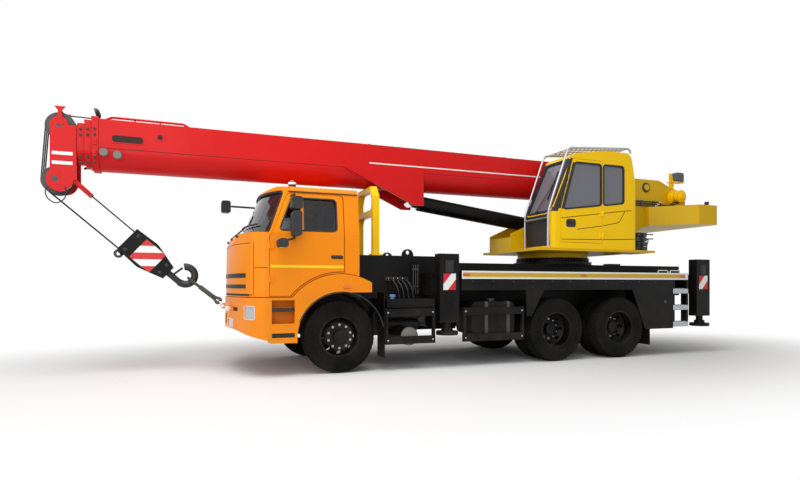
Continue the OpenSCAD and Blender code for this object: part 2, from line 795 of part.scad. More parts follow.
// Room that the left door takes up, grown by g on every edge.
module door_zone(g) {
  difference() {
    across(door_outline(g), door_inner_y - g, cab_half_w + cab_wall);
    block(cab_rear_x, cab_nose_x, 0, cab_half_w - cab_wall - g, 0, belt_z - cab_wall);
    rod_across(0, wheel_z, arch_cut_r + door_arch_gap - 2 * g, door_inner_y - g - over, cab_half_w + 2 * cab_wall);
  }
}

module pane_prism(g) {
  across(rounded([
    [pane_rear_x + g, pane_low_z + g, window_round], [pane_low_front_x - g, pane_low_z + g, window_round],
    [pane_top_front_x - g, pane_top_z - g, window_round], [pane_rear_x + g, pane_top_z - g, window_round]]),
    door_inner_y, cab_half_w + cab_wall);
}

module screen_prism(g) {
  along(rounded([
    [-screen_low_half_w + g, screen_low_z + g, window_round], [screen_low_half_w - g, screen_low_z + g, window_round],
    [screen_top_half_w - g, screen_top_z - g, window_round], [0, screen_crown_z - g, screen_crown_r],
    [-screen_top_half_w + g, screen_top_z - g, window_round]]), screen_cut_x, cab_nose_x);
}

module back_window_prism(g) {
  w = back_window_half_w - g;
  along(rounded([[-w, back_window_low_z + g, window_round], [w, back_window_low_z + g, window_round],
    [w, back_window_top_z - g, window_round], [-w, back_window_top_z - g, window_round]]),
    cab_rear_x - over, cab_rear_x + cab_wall + over);
}

module cab_shell() {
  color(cab_orange) difference() {
    cab_solid(0);
    cab_solid(cab_wall);
    both_sides() door_zone(run_gap);
    screen_prism(0);
    back_window_prism(0);
  }
}

// Outside hinge on the left of a body: the barrel's axis is the door's turning axis, and the leaf runs
// from it towards the door on side s.
module door_hinge(x, y, z, s) {
  translate([x, y + hinge_r + fit_gap, z]) cylinder(r = hinge_r, h = hinge_h);
  block(min(x, x + s * hinge_leaf), max(x, x + s * hinge_leaf), y + fit_gap, y + hinge_r, z, z + hinge_h);
  block(min(x + s * hinge_leaf / 2, x + s * hinge_leaf), max(x + s * hinge_leaf / 2, x + s * hinge_leaf),
    y - over, y + hinge_r, z, z + hinge_h);
}

module door_panel() {
  color(cab_orange) for (z = door_hinge_zs) door_hinge(door_front_x + run_gap / 2, cab_half_w, z, -1);
  color(cab_orange) difference() {
    intersection() {
      cab_solid(0);
      door_zone(0);
    }
    cab_solid(cab_wall);
    pane_prism(0);
  }
}

module glass_layer() {
  color(glass_tint) difference() {
    intersection() {
      cab_solid(glass_set);
      union() children();
    }
    cab_solid(glass_set + glass_t);
  }
}

module cab_glass() {
  glass_layer() {
    screen_prism(fit_gap);
    back_window_prism(fit_gap);
  }
}

module door_pane() {
  glass_layer() pane_prism(fit_gap);
}

// Seats, dashboard and steering wheel

seat_x0 = 80;
seat_x1 = 560;
seat_set = 595;
seat_y = cab_half_w - seat_set;
seat_half_w = 250;
seat_base_z0 = 1500;
seat_top_z = 1720;
seat_back_top_z = 2400;
seat_back_t = 120;
seat_round = 60;
dash_x0 = 880;
dash_low_z = 1560;
dash_top_z = 1850;
dash_front_x = 1366;
dash_top_front_x = 1335;
steering_r = 225;
steering_tube_r = 17;
steering_x = 800;
steering_z = 1990;
steering_tilt = 35;
column_r = 30;

function seat_outline() = rounded([
  [seat_x0, seat_base_z0, 0], [seat_x1 - seat_back_t, seat_base_z0, 0], [seat_x1, seat_top_z - seat_round, seat_round],
  [seat_x1 - seat_round, seat_top_z, seat_round], [seat_x0 + seat_back_t, seat_top_z, 0],
  [seat_x0 + seat_round, seat_back_top_z, seat_round], [seat_x0 - seat_round, seat_back_top_z, seat_round],
  [seat_x0 - seat_back_t / 2, seat_top_z, 0]]);

module cab_interior() {
  color("#3a3b40") {
    both_sides() {
      across(seat_outline(), seat_y - seat_half_w, seat_y + seat_half_w);
      block(-seat_x0, seat_x1 - seat_back_t, seat_y - seat_half_w / 2, seat_y + seat_half_w / 2,
        wheel_z + arch_cut_r + cab_wall + fit_gap, seat_base_z0 + over);
    }
    intersection() {
      across([[dash_x0, dash_low_z], [dash_front_x, dash_low_z], [dash_top_front_x, dash_top_z], [dash_x0, dash_top_z]],
        -cab_half_w, cab_half_w);
      raised(cab_plan(cab_wall + fit_gap), dash_low_z - over, dash_top_z + over);
    }
    translate([steering_x, seat_y, steering_z]) rotate([0, -steering_tilt, 0]) {
      rotate_extrude() translate([steering_r, 0]) circle(r = steering_tube_r);
      translate([0, 0, -column_r]) cylinder(r = 2 * column_r, h = column_r);
      for (a = [0, 120, 240]) rotate([0, 0, a])
        block(0, steering_r, -steering_tube_r, steering_tube_r, -steering_tube_r / 2, 0);
      translate([0, 0, -steering_r - column_r]) cylinder(r = column_r, h = steering_r + over);
    }
  }
}

// Front mirror and roof marker lamps, trimmed to the cab's outside

front_mirror_x = 1490;
front_mirror_set = 155;
front_mirror_y = front_mirror_set - cab_half_w;
front_mirror_z = 2700;
front_mirror_w = 180;
front_mirror_h = 200;
front_mirror_t = 150;
front_mirror_round = 35;
front_arm_z = 2615;
arm_r = 16;
arm_root_x = 660;
arm_root_z = 2600;
marker_set = 315;
marker_ys = [marker_set - cab_half_w, cab_half_w - marker_set];
marker_x = 640;
marker_r = 55;
marker_h = 50;

module cab_fittings() {
  color(black_paint) difference() {
    union() {
      bar([arm_root_x, front_mirror_y, arm_root_z],
        [front_mirror_x - front_mirror_t / 2, front_mirror_y, front_arm_z], arm_r);
      across(box_outline(front_mirror_x - front_mirror_t, front_mirror_x, front_mirror_z - front_mirror_h, front_mirror_z,
        front_mirror_round), front_mirror_y - front_mirror_w / 2, front_mirror_y + front_mirror_w / 2);
      for (y = marker_ys) translate([marker_x, y, cab_eave_z])
        cylinder(r = marker_r, h = roof_z - cab_eave_z + marker_h / 2);
    }
    cab_solid(-fit_gap);
  }
}

// Door mirrors: two housings on a post that two arms hold off the door, and a kerb mirror below them

mirror_gap = 85;
mirror_w = 185;
mirror_y0 = cab_half_w + mirror_gap;
mirror_y1 = mirror_y0 + mirror_w;
mirror_round = 40;
upper_mirror = [600, 745, 2285, 2455];
lower_mirror = [610, 735, 1925, 2265];
kerb_mirror = [790, 925, 1765, 1885];
post_x = 690;
post_set = 35;
post_y = mirror_y0 + post_set;
post_low_z = 1900;
post_top_z = 2490;
mirror_root_x = 700;
mirror_root_high_z = 2515;
kerb_arm_z = 1860;

// Housing between the x and z limits m.
module mirror_housing(m) {
  across(box_outline(m[0], m[1], m[2], m[3], mirror_round), mirror_y0, mirror_y1);
}

module door_mirrors() {
  color("#26272b") difference() {
    union() {
      mirror_housing(upper_mirror);
      mirror_housing(lower_mirror);
      mirror_housing(kerb_mirror);
      bar([post_x, post_y, post_low_z - arm_r], [post_x, post_y, post_top_z + arm_r], arm_r);
      bar([mirror_root_x, door_inner_y, mirror_root_high_z], [post_x, post_y, post_top_z], arm_r);
      bar([mirror_root_x, cab_half_w - cab_wall / 2, post_low_z], [post_x, post_y, post_low_z], arm_r);
      bar([post_x, post_y, post_low_z], [kerb_mirror[0] + mirror_round, post_y, kerb_arm_z], arm_r);
    }
    cab_solid(-fit_gap);
    block(cab_rear_x, cab_nose_x, 0, cab_eave_half_w - cab_wall, 0, roof_z);
  }
}

// Bumper with lamps, steps and wheel arches

bumper_front_x = 1490;
bumper_rear_x = 995;
bumper_low_z = 500;
bumper_top_z = 1090;
bumper_wall = 60;
bumper_lap = 30;
bumper_half_w = cab_half_w + bumper_lap;
bumper_round = 250;
bumper_bow = 458;
bumper_bow_r = bow_radius(bumper_bow, bumper_half_w - bumper_round, bumper_round);
bumper_bracket_x = bumper_front_x - bumper_bow_r - over - 4 * fit_gap
  + sqrt(pow(bumper_bow_r - bumper_wall, 2) - pow(frame_w / 2, 2));
sweep_shares = [[0, 0.0085], [0.099, 0.02], [0.4955, 0.122], [0.766, 0.232], [1, 0.2375]];
bumper_sweep = [for (p = sweep_shares) [
  bumper_rear_x + p.x * (bumper_front_x + bumper_wall - bumper_rear_x),
  bumper_low_z + p.y * (bumper_top_z - bumper_low_z)]];
intake_half_w = 200;
intake_low_z = 700;
intake_top_z = 840;
headlamp_set = 70;
headlamp_w = 195;
headlamp_y1 = bumper_half_w - headlamp_set;
headlamp_y0 = headlamp_y1 - headlamp_w;
headlamp_z0 = 800;
headlamp_z1 = 970;
foglamp_y0 = 270;
foglamp_y1 = 560;
foglamp_z0 = 665;
foglamp_z1 = 770;
lamp_set = 8;
lamp_depth = 48;
lamp_round = 30;
tow_y = 550;
tow_z = 930;
tow_r = 26;
tow_len = 70;
tow_eye_r = 45;
tow_bore_r = 24;
step_x0 = 690;
arch_clear_r = 630;
arch_out_r = 895;
arch_rear_x = -450;
arch_rear_z = 1160;
arch_front_z = 1000;
arch_w = 315;
arch_y0 = bumper_half_w - arch_w;
arch_leg_x = 270;
step_low_z = 468;
step_top_z = 1092;
step_cut_x0 = 665;
step_cut_x1 = 978;
step_cut_depth = 185;
step_cut_y = bumper_half_w - step_cut_depth;
step_cut_zs = [[545, 605], [735, 1057]];
front_flap_x = -640;
front_flap_top_z = 1165;

function bumper_plan(i) = bowed_plan(bumper_rear_x, bumper_front_x, bumper_half_w, bumper_bow_r, bumper_round, i);

module lamp_prism(y0, y1, z0, z1, g) {
  both_sides() along(box_outline(y0 + g, y1 - g, z0 + g, z1 - g, lamp_round),
    bumper_rear_x + bumper_wall, bumper_front_x + bumper_wall);
}

module bumper() {
  color(cab_orange) difference() {
    union() {
      difference() {
        intersection() {
          raised(bumper_plan(0), bumper_low_z, bumper_top_z);
          across(concat(bumper_sweep, [[bumper_front_x + bumper_wall, bumper_top_z], [bumper_rear_x, bumper_top_z]]),
            -bumper_half_w - over, bumper_half_w + over);
        }
        translate([-over, 0, 0]) raised(bumper_plan(bumper_wall), bumper_low_z - over, bumper_top_z + over);
      }
      both_sides() {
        rod_across(bumper_front_x, tow_z, tow_eye_r, tow_y - tow_r / 2, tow_y + tow_r / 2);
        block(bumper_front_x - 2 * bumper_wall, bumper_front_x, tow_y - tow_r / 2, tow_y + tow_r / 2,
          tow_z - tow_eye_r, tow_z + tow_eye_r);
      }
    }
    lamp_prism(headlamp_y0, headlamp_y1, headlamp_z0, headlamp_z1, 0);
    lamp_prism(foglamp_y0, foglamp_y1, foglamp_z0, foglamp_z1, 0);
    block(bumper_rear_x, bumper_front_x + bumper_wall, -intake_half_w, intake_half_w, intake_low_z, intake_top_z);
    both_sides() rod_across(bumper_front_x + tow_r / 2, tow_z, tow_bore_r, tow_y - tow_len, tow_y + tow_len);
  }
}

module lamps() {
  color("#e8e8e2") difference() {
    intersection() {
      raised(bumper_plan(lamp_set), bumper_low_z, bumper_top_z);
      union() {
        lamp_prism(headlamp_y0, headlamp_y1, headlamp_z0, headlamp_z1, fit_gap);
        lamp_prism(foglamp_y0, foglamp_y1, foglamp_z0, foglamp_z1, fit_gap);
      }
    }
    translate([-over, 0, 0]) raised(bumper_plan(lamp_set + lamp_depth), bumper_low_z - over, bumper_top_z + over);
  }
}

module front_arches() {
  x1 = bumper_rear_x - fit_gap;
  color(cab_orange) both_sides() {
    difference() {
      union() {
        intersection() {
          rod_across(0, wheel_z, arch_out_r, arch_y0, bumper_half_w);
          union() {
            block(arch_rear_x, 0, arch_y0, bumper_half_w, arch_rear_z, cab_eave_z);
            block(-over, step_x0, arch_y0, bumper_half_w, arch_front_z, cab_eave_z);
          }
        }
        block(arch_leg_x, x1, arch_y0, bumper_half_w, step_low_z, step_top_z);
      }
      rod_across(0, wheel_z, arch_clear_r, arch_y0 - over, bumper_half_w + over);
      for (z = step_cut_zs) block(step_cut_x0, step_cut_x1, step_cut_y, bumper_half_w + over, z[0], z[1]);
    }
  }
}

// Boom rest behind the cab

rest_x = -780;
rest_t = 110;
rest_half_w = 460;
rest_bar = 80;
rest_top_z = boom_bottom_z - run_gap;
rest_shoulder_z = 2690;
rest_shoulder_y = 330;
rest_mid_z0 = 2390;
rest_mid_z1 = 2480;
rest_round = 110;
rest_foot_h = 25;
rest_foot_w = 180;

// Portal of two legs under a cranked head, with a tie between them.
module boom_rest() {
  x0 = rest_x - rest_t / 2;
  x1 = rest_x + rest_t / 2;
  z0 = front_deck_z + fit_gap;
  w = rest_half_w - rest_bar;
  head_y = rest_shoulder_y - rest_bar / 2;
  color(crane_yellow) {
    difference() {
      along([[-rest_half_w, z0], [rest_half_w, z0], [rest_half_w, rest_shoulder_z], [rest_shoulder_y, rest_top_z],
        [-rest_shoulder_y, rest_top_z], [-rest_half_w, rest_shoulder_z]], x0, x1);
      along(rounded([[-w, z0 - rest_bar, 0], [w, z0 - rest_bar, 0], [w, rest_mid_z0, rest_round],
        [-w, rest_mid_z0, rest_round]]), x0 - over, x1 + over);
      along(rounded([[-w, rest_mid_z1, rest_bar], [w, rest_mid_z1, rest_bar], [w, rest_shoulder_z - rest_bar / 2, rest_bar],
        [head_y, rest_top_z - rest_bar, rest_bar], [-head_y, rest_top_z - rest_bar, rest_bar],
        [-w, rest_shoulder_z - rest_bar / 2, rest_bar]]), x0 - over, x1 + over);
    }
    both_sides() block(rest_x - rest_foot_w / 2, rest_x + rest_foot_w / 2, rest_half_w - rest_foot_w / 2,
      girder_half_w, z0, z0 + rest_foot_h);
  }
}

// Fuel tanks, lockers, side guards, air receivers and front mud flaps

tank_rear_gap = 265;
tank_front_gap = 255;
tank_x0 = mid_axle_x + tyre_r + tank_rear_gap;
tank_x1 = front_jack_x - jack_box_w / 2 - tank_front_gap;
tank_y0 = 640;
tank_y1 = 1170;
tank_z0 = 480;
tank_z1 = 1000;
tank_round_share = 0.115;
tank_round = tank_round_share * (tank_x1 - tank_x0);
guard_bar = 45;
guard_y = 1195;
guard_set = 240;
guard_rear_gap = 125;
rack_gap = 20;
guard_front_x = [front_jack_x - guard_set, mid_axle_x + tyre_r + guard_rear_gap];
rack_front_x = [front_flap_x - rack_gap, front_jack_x + guard_set];
guard_zs = [390, 800];
guard_h = 115;
locker_x0 = -1500;
locker_x1 = -720;
locker_y1 = 1150;
locker_z0 = 925;
locker_z1 = 1055;
receiver_x = -1060;
receiver_z = 500;
receiver_r = 140;
receiver_y0 = 560;
receiver_y1 = 1180;
hanger_z0 = 860;
hanger_z1 = 920;

module side_guard(xs) {
  for (z = guard_zs) block(xs[1], xs[0], guard_y, guard_y + guard_bar, z, z + guard_h);
  for (x = [xs[0] - guard_bar, xs[1]]) {
    block(x, x + guard_bar, guard_y, guard_y + guard_bar, guard_zs[0], hanger_z1);
    block(x, x + guard_bar, frame_w / 2 + fit_gap, guard_y + over, hanger_z0, hanger_z1);
  }
}

module side_tanks() {
  color("#2a2a2e") both_sides() {
    side_guard(guard_front_x);
    side_guard(rack_front_x);
    across(box_outline(tank_x0, tank_x1, tank_z0, tank_z1, tank_round), tank_y0, tank_y1);
    block(locker_x0, locker_x1, frame_w / 2 + fit_gap, locker_y1, locker_z0, locker_z1);
    block(front_flap_x - flap_t, front_flap_x, arch_y0, bumper_half_w, flap_low_z, front_flap_top_z);
    block(front_flap_x - flap_t, arch_rear_x - fit_gap, arch_y0, bumper_half_w, arch_rear_z, front_flap_top_z);
    for (x = [tank_x0 + tank_round + guard_bar, tank_x1 - tank_round - 2 * guard_bar])
      block(x, x + guard_bar, frame_w / 2 + fit_gap, tank_y0 + over, hanger_z0, hanger_z1);
    rod_across(receiver_x, receiver_z, receiver_r, receiver_y0, receiver_y1);
    block(receiver_x - guard_bar, receiver_x + guard_bar, frame_w / 2 + fit_gap, receiver_y0 + guard_bar,
      receiver_z, hanger_z1);
  }
}

// Slewing superstructure

side_plate_y = 340;
side_plate_t = 35;
base_plate_z0 = 1845;
base_plate_z1 = 1885;
turret_front_x = -3350;
turret_rear_x = -5650;
turret_half_w = 620;
cab_platform_y = 1215;
cab_platform_rear_x = -5830;
tail_x = -7500;
tail_low_z = 2800;
tail_top_z = 3080;
hump_z = 3360;
hump_x0 = -6050;
hump_x1 = -6800;
neck_low_x = -5450;
neck_x = -6420;
neck_low_z = 2430;
cheek_front_z = 2180;
cheek_mid_x = -4150;
cheek_mid_z = 2540;
cheek_rear_x = -5300;
cheek_rear_z = 2760;
boom_pin_r = 60;
cyl_pin_x = -4600;
cyl_pin_z = 2310;
cyl_pin_r = 55;
tie_t = 30;
tie_front_h = 240;
winch_x = -7180;
winch_z = 3040;
drum_body_r = 150;
drum_flange_r = 215;
drum_flange_t = 25;
drum_half_y = 290;
winch_motor_r = 120;
winch_motor_len = 190;
winch_shaft_r = 50;
cw_low_z = 2430;
cw_front_x = neck_x - fit_gap;
cw_front_half_w = 480;
cw_knee_x = -7050;
cw_rear_x = -7550;
cw_round = 60;

cheek_outline = [
  [turret_front_x, base_plate_z1 - over], [neck_low_x, base_plate_z1 - over], [neck_x, neck_low_z],
  [neck_x, tail_low_z], [tail_x, tail_low_z], [tail_x, tail_top_z], [hump_x1, hump_z], [hump_x0, hump_z],
  [cheek_rear_x, cheek_rear_z], [cheek_mid_x, cheek_mid_z], [turret_front_x, cheek_front_z]];

module turntable() {
  y0 = side_plate_y;
  color(crane_yellow) difference() {
    union() {
      translate([slew_x, 0, ring_top_z + fit_gap]) cylinder(r = slew_ring_r, h = base_plate_z0 - ring_top_z);
      block(turret_rear_x, turret_front_x, -turret_half_w, turret_half_w, base_plate_z0, base_plate_z1);
      block(cab_platform_rear_x, turret_front_x, turret_half_w - over, cab_platform_y, base_plate_z0, base_plate_z1);
      both_sides() across(cheek_outline, y0, y0 + side_plate_t);
      block(turret_front_x - tie_t, turret_front_x, -y0 - over, y0 + over,
        base_plate_z1 - over, base_plate_z1 + tie_front_h);
      across([[neck_low_x, base_plate_z1 - over], [neck_low_x + tie_t, base_plate_z1 - over],
        [neck_x + tie_t, neck_low_z + tie_t], [neck_x + tie_t, tail_low_z], [neck_x, tail_low_z],
        [neck_x, neck_low_z]], -y0 - over, y0 + over);
      block(tail_x, neck_x + tie_t, -y0 - over, y0 + over, tail_low_z, tail_low_z + tie_t / 2);
      rod_across(boom_pin_x, boom_pin_z, boom_pin_r, -y0 - side_plate_t - tie_t, y0 + side_plate_t + tie_t);
      rod_across(cyl_pin_x, cyl_pin_z, cyl_pin_r, -y0 - over, y0 + over);
    }
    translate([slew_x, 0, ring_top_z]) cylinder(r = ring_bore_r, h = base_plate_z0 - ring_top_z);
    rod_across(winch_x, winch_z, winch_shaft_r + fit_gap, -y0 - 2 * side_plate_t, y0 + 2 * side_plate_t);
  }
}

module counterweight() {
  w = counterweight_half_w;
  color(crane_yellow) raised(rounded([
    [cw_front_x, -cw_front_half_w, 0], [cw_front_x, cw_front_half_w, 0], [cw_knee_x, w, cw_round],
    [cw_rear_x, w, cw_round], [cw_rear_x, -w, cw_round], [cw_knee_x, -w, cw_round]]),
    cw_low_z, tail_low_z - fit_gap);
}

module winch() {
  out = side_plate_y + side_plate_t + fit_gap;
  color("#3b3c40") {
    rod_across(winch_x, winch_z, drum_body_r, -drum_half_y, drum_half_y);
    for (s = [-1, 1])
      translate([0, s * (drum_half_y - drum_flange_t / 2), 0])
        rod_across(winch_x, winch_z, drum_flange_r, -drum_flange_t / 2, drum_flange_t / 2);
    rod_across(winch_x, winch_z, winch_shaft_r, -out, out + over);
    rod_across(winch_x, winch_z, winch_motor_r, out, out + winch_motor_len);
  }
}

// Operator's cab on the left of the boom

op_y0 = 460;
op_y1 = 1200;
op_wall = 45;
op_low_z = base_plate_z1 + fit_gap;
op_front_x = -3620;
op_rear_x = -5420;
op_belt_front_x = -3590;
op_belt_z = 2480;
op_brow_x = -4040;
op_brow_z = 3490;
op_top_x = -4700;
op_top_z = 3590;
op_back_top_x = -5290;
op_back_mid_z = 2900;
op_brow_round = 150;
op_back_round = 140;
op_front_round = 110;
op_door_x0 = -4655;
op_door_x1 = -3790;
op_door_low_z = 1990;
op_door_top_z = 3400;
op_door_top_x1 = -4035;
op_pane_low_z = 2540;
op_pane_rear_low_z = 2700;
op_pane_mid_low_z = 2640;
op_pane_top_z = 3345;
op_pane_split = -4660;
op_pane_rear_x = -5130;
op_pane_front_x = -3818;
op_pane_top_front_x = -4056;
op_pane_bar = 22;
op_screen_low_z = 2500;
op_screen_top_z = 3400;
op_screen_edge = 60;
op_glass_set = 16;
op_glass_t = 8;
op_pane_round = 50;
op_hinge_low_z = 2080;
op_hinge_high_z = 2450;
op_hinge_zs = [op_hinge_low_z, op_hinge_high_z];

function op_side(i) = rounded([
  [op_rear_x + i, op_low_z + i, 0], [op_front_x - i, op_low_z + i, 0], [op_belt_front_x - i, op_belt_z, 0],
  [op_brow_x - i, op_brow_z - i, op_brow_round], [op_top_x, op_top_z - i, 0],
  [op_back_top_x + i, op_top_z - i, op_back_round], [op_rear_x + i, op_back_mid_z, 0]]);

function op_plan(i) = rounded([
  [op_rear_x + i, op_y0 + i, 0], [op_belt_front_x - i, op_y0 + i, 0],
  [op_belt_front_x - i, op_y1 - i, op_front_round], [op_rear_x + i, op_y1 - i, op_front_round / 2]]);

module op_solid(i) {
  intersection() {
    across(op_side(i), op_y0 + i, op_y1 - i);
    raised(op_plan(i), op_low_z - over, op_top_z + over);
  }
}

module op_door_zone(g) {
  across(rounded([[op_door_x0 - g, op_door_low_z - g, 0], [op_door_x1 + g, op_door_low_z - g, 0],
    [op_door_x1 + g, op_belt_z, 0], [op_door_top_x1 + g, op_door_top_z + g, op_pane_round],
    [op_door_x0 - g, op_door_top_z + g, op_pane_round]]), op_y1 - op_wall - g, op_y1 + op_wall);
}

module op_door_pane(g) {
  across(rounded([[op_pane_split + op_pane_bar + g, op_pane_mid_low_z + g, op_pane_round],
    [op_pane_front_x - op_pane_bar - g, op_pane_low_z + g, op_pane_round],
    [op_pane_top_front_x - op_pane_bar - g, op_pane_top_z - g, op_pane_round],
    [op_pane_split + op_pane_bar + g, op_pane_top_z - g, op_pane_round]]), op_y1 - 2 * op_wall, op_y1 + op_wall);
}

module op_rear_pane(g) {
  across(rounded([[op_pane_rear_x + g, op_pane_rear_low_z + g, op_pane_round],
    [op_pane_split - op_pane_bar - g, op_pane_mid_low_z + g, op_pane_round],
    [op_pane_split - op_pane_bar - g, op_pane_top_z - g, op_pane_round],
    [op_pane_rear_x + g, op_pane_top_z - g, op_pane_round]]), op_y1 - 2 * op_wall, op_y1 + op_wall);
}

module op_screen(g) {
  y0 = op_y0 + op_screen_edge + g;
  y1 = op_y1 - op_screen_edge - op_front_round / 2 - g;
  along(rounded([[y0, op_screen_low_z + g, op_pane_round], [y1, op_screen_low_z + g, op_pane_round],
    [y1, op_screen_top_z - g, op_pane_round], [y0, op_screen_top_z - g, op_pane_round]]),
    op_brow_x - 2 * op_wall, op_belt_front_x + op_wall);
}

module upper_cab() {
  color(crane_yellow) {
    difference() {
      op_solid(0);
      op_solid(op_wall);
      op_door_zone(run_gap);
      op_rear_pane(0);
      op_screen(0);
    }
  }
}

module upper_cab_door() {
  color(crane_yellow) for (z = op_hinge_zs) door_hinge(op_door_x0 - run_gap / 2, op_y1, z, 1);
  color(crane_yellow) difference() {
    intersection() {
      op_solid(0);
      op_door_zone(0);
    }
    op_solid(op_wall);
    op_door_pane(0);
  }
}

module op_glass_layer() {
  color(glass_tint) difference() {
    intersection() {
      op_solid(op_glass_set);
      union() children();
    }
    op_solid(op_glass_set + op_glass_t);
  }
}

module upper_cab_glass() {
  op_glass_layer() {
    op_rear_pane(fit_gap);
    op_screen(fit_gap);
  }
}

module upper_door_glass() {
  op_glass_layer() op_door_pane(fit_gap);
}

op_seat_x = -4950;
op_seat_y = 800;
op_console_x = -3760;
op_console_w = 180;
op_console_top_z = 2420;

module upper_cab_interior() {
  floor_z = op_low_z + op_wall + fit_gap;
  color("#3a3b40") {
    translate([op_seat_x - seat_x0, op_seat_y - seat_y, floor_z - seat_base_z0 + seat_top_z - seat_base_z0])
      across(seat_outline(), seat_y - seat_half_w, seat_y + seat_half_w);
    block(op_seat_x, op_seat_x + seat_half_w, op_seat_y - seat_half_w / 2, op_seat_y + seat_half_w / 2,
      floor_z, floor_z + seat_top_z - seat_base_z0 + over);
    block(op_console_x - op_console_w, op_console_x, op_y0 + 2 * op_wall, op_y1 - 3 * op_wall, floor_z, op_console_top_z);
  }
}

rail_r = 18;
rail_in_set = 60;
rail_out_set = 15;
rail_ys = [op_y0 + rail_in_set, op_y1 - rail_out_set];
rail_foot_x = -3540;
rail_off = 90;

module cab_rails() {
  foot_z = base_plate_z1 + fit_gap;
  path = [[rail_foot_x, foot_z], [rail_foot_x, op_belt_z], [op_brow_x + rail_off, op_brow_z + rail_off],
    [op_back_top_x, op_top_z + rail_off], [op_back_top_x, op_top_z + fit_gap]];
  x0 = op_brow_x + rail_off;
  z0 = op_brow_z + rail_off;
  color("#c9ccd0") {
    for (y = rail_ys) across(bent_outline(path, rail_r), y - rail_r, y + rail_r);
    block(rail_foot_x - rail_r, rail_foot_x + rail_r, rail_ys[0], rail_ys[1],
      op_belt_z - rail_off - rail_r, op_belt_z - rail_off + rail_r);
    block(x0 - rail_r, x0, rail_ys[0], rail_ys[1], z0 - rail_r, z0);
  }
}

// Luffing cylinder between the turntable and the boom

rod_eye_x = -1560;
rod_eye_z = 2700;
cyl_r = 130;
cyl_bore_r = 96;
cyl_rod_r = 95;
cyl_foot_r = 110;
cyl_foot_w = 240;
cyl_eye_r = 85;
cyl_eye_w = 200;
cyl_gland_set = 150;
cyl_cap = 220;
eye_pin_r = 50;
cyl_line = [rod_eye_x - cyl_pin_x, rod_eye_z - cyl_pin_z];
cyl_len = norm(cyl_line);
cyl_rise = atan2(cyl_line.y, cyl_line.x);

// Places children drawn along +X from the cylinder's foot pin.
module at_cylinder() {
  translate([cyl_pin_x, 0, cyl_pin_z]) rotate([0, -cyl_rise, 0]) children();
}

module cylinder_barrel() {
  color(black_paint) at_cylinder() difference() {
    union() {
      rod_across(0, 0, cyl_foot_r, -cyl_foot_w / 2, cyl_foot_w / 2);
      translate([cyl_foot_r / 2, 0, 0]) rotate([0, 90, 0]) cylinder(r = cyl_r, h = cyl_len - cyl_gland_set - cyl_foot_r / 2);
    }
    rod_across(0, 0, cyl_pin_r + fit_gap, -cyl_foot_w, cyl_foot_w);
    translate([cyl_cap, 0, 0]) rotate([0, 90, 0]) cylinder(r = cyl_bore_r, h = cyl_len);
  }
}

module cylinder_rod() {
  color("#c3c6ca") at_cylinder() difference() {
    union() {
      translate([cyl_cap + run_gap, 0, 0]) rotate([0, 90, 0]) cylinder(r = cyl_rod_r, h = cyl_len - cyl_cap - run_gap);
      rod_across(cyl_len, 0, cyl_eye_r, -cyl_eye_w / 2, cyl_eye_w / 2);
    }
    rod_across(cyl_len, 0, eye_pin_r + fit_gap, -cyl_eye_w, cyl_eye_w);
  }
}

// Boom sections

boom_tail_x = -6220;
tail_set = 370;
tail_step = 200;
section_tails = concat([boom_tail_x], [for (k = [0:2]) boom_tail_x + tail_set + tail_step * k]);
collar_len = 82;
collar_gap = 10;
collar_rim = 22;
slide_gap = 0.4;
tail_pad_len = 120;
foot_boss_r = 150;
foot_boss_half_w = 300;
bracket_y0 = boom_half_w;
bracket_t = 30;
bracket_front_x = -300;
bracket_front_z = 3150;
bracket_tip_x = -1500;
bracket_tip_z = 2600;
bracket_rear_x = -1680;
bracket_pin_half = bracket_y0 + bracket_t;

function half_w(k) = boom_half_w - boom_step * k;
function low_z(k) = boom_bottom_z + boom_step * k;
function high_z(k) = boom_top_z - boom_step * k;

// Boom section outline, flat sides over a half-round belly, grown by g.
module boom_shape(k, g) {
  r = half_w(k) + g;
  mid = low_z(k) + half_w(k);
  translate([-r, mid]) square([2 * r, high_z(k) - mid + g]);
  translate([0, mid]) circle(r = r, $fn = 96);
}

// Plate tube of section k between x0 and x1, outer face grown by g0, inner face grown by g1.
module boom_ring(k, x0, x1, g0, g1) {
  translate([x0, 0, 0]) rotate([90, 0, 90]) linear_extrude(height = x1 - x0) difference() {
    boom_shape(k, g0);
    boom_shape(k, g1);
  }
}

function collar_x(k) = boom_front_x + k * (collar_len + collar_gap);

module boom_tube(k) {
  boom_ring(k, section_tails[k], collar_x(k) + over, 0, -boom_wall);
  translate([collar_x(k), 0, 0]) rotate([90, 0, 90]) linear_extrude(height = collar_len) difference() {
    boom_shape(k, collar_rim);
    boom_shape(k + 1, slide_gap);
  }
}

// Slide pad ring round the tail of section k, filling the bore of the section outside it.
module tail_pad(k) {
  translate([section_tails[k], 0, 0]) rotate([90, 0, 90]) linear_extrude(height = tail_pad_len) difference() {
    boom_shape(k - 1, -boom_wall - slide_gap);
    boom_shape(k, -boom_wall);
  }
}

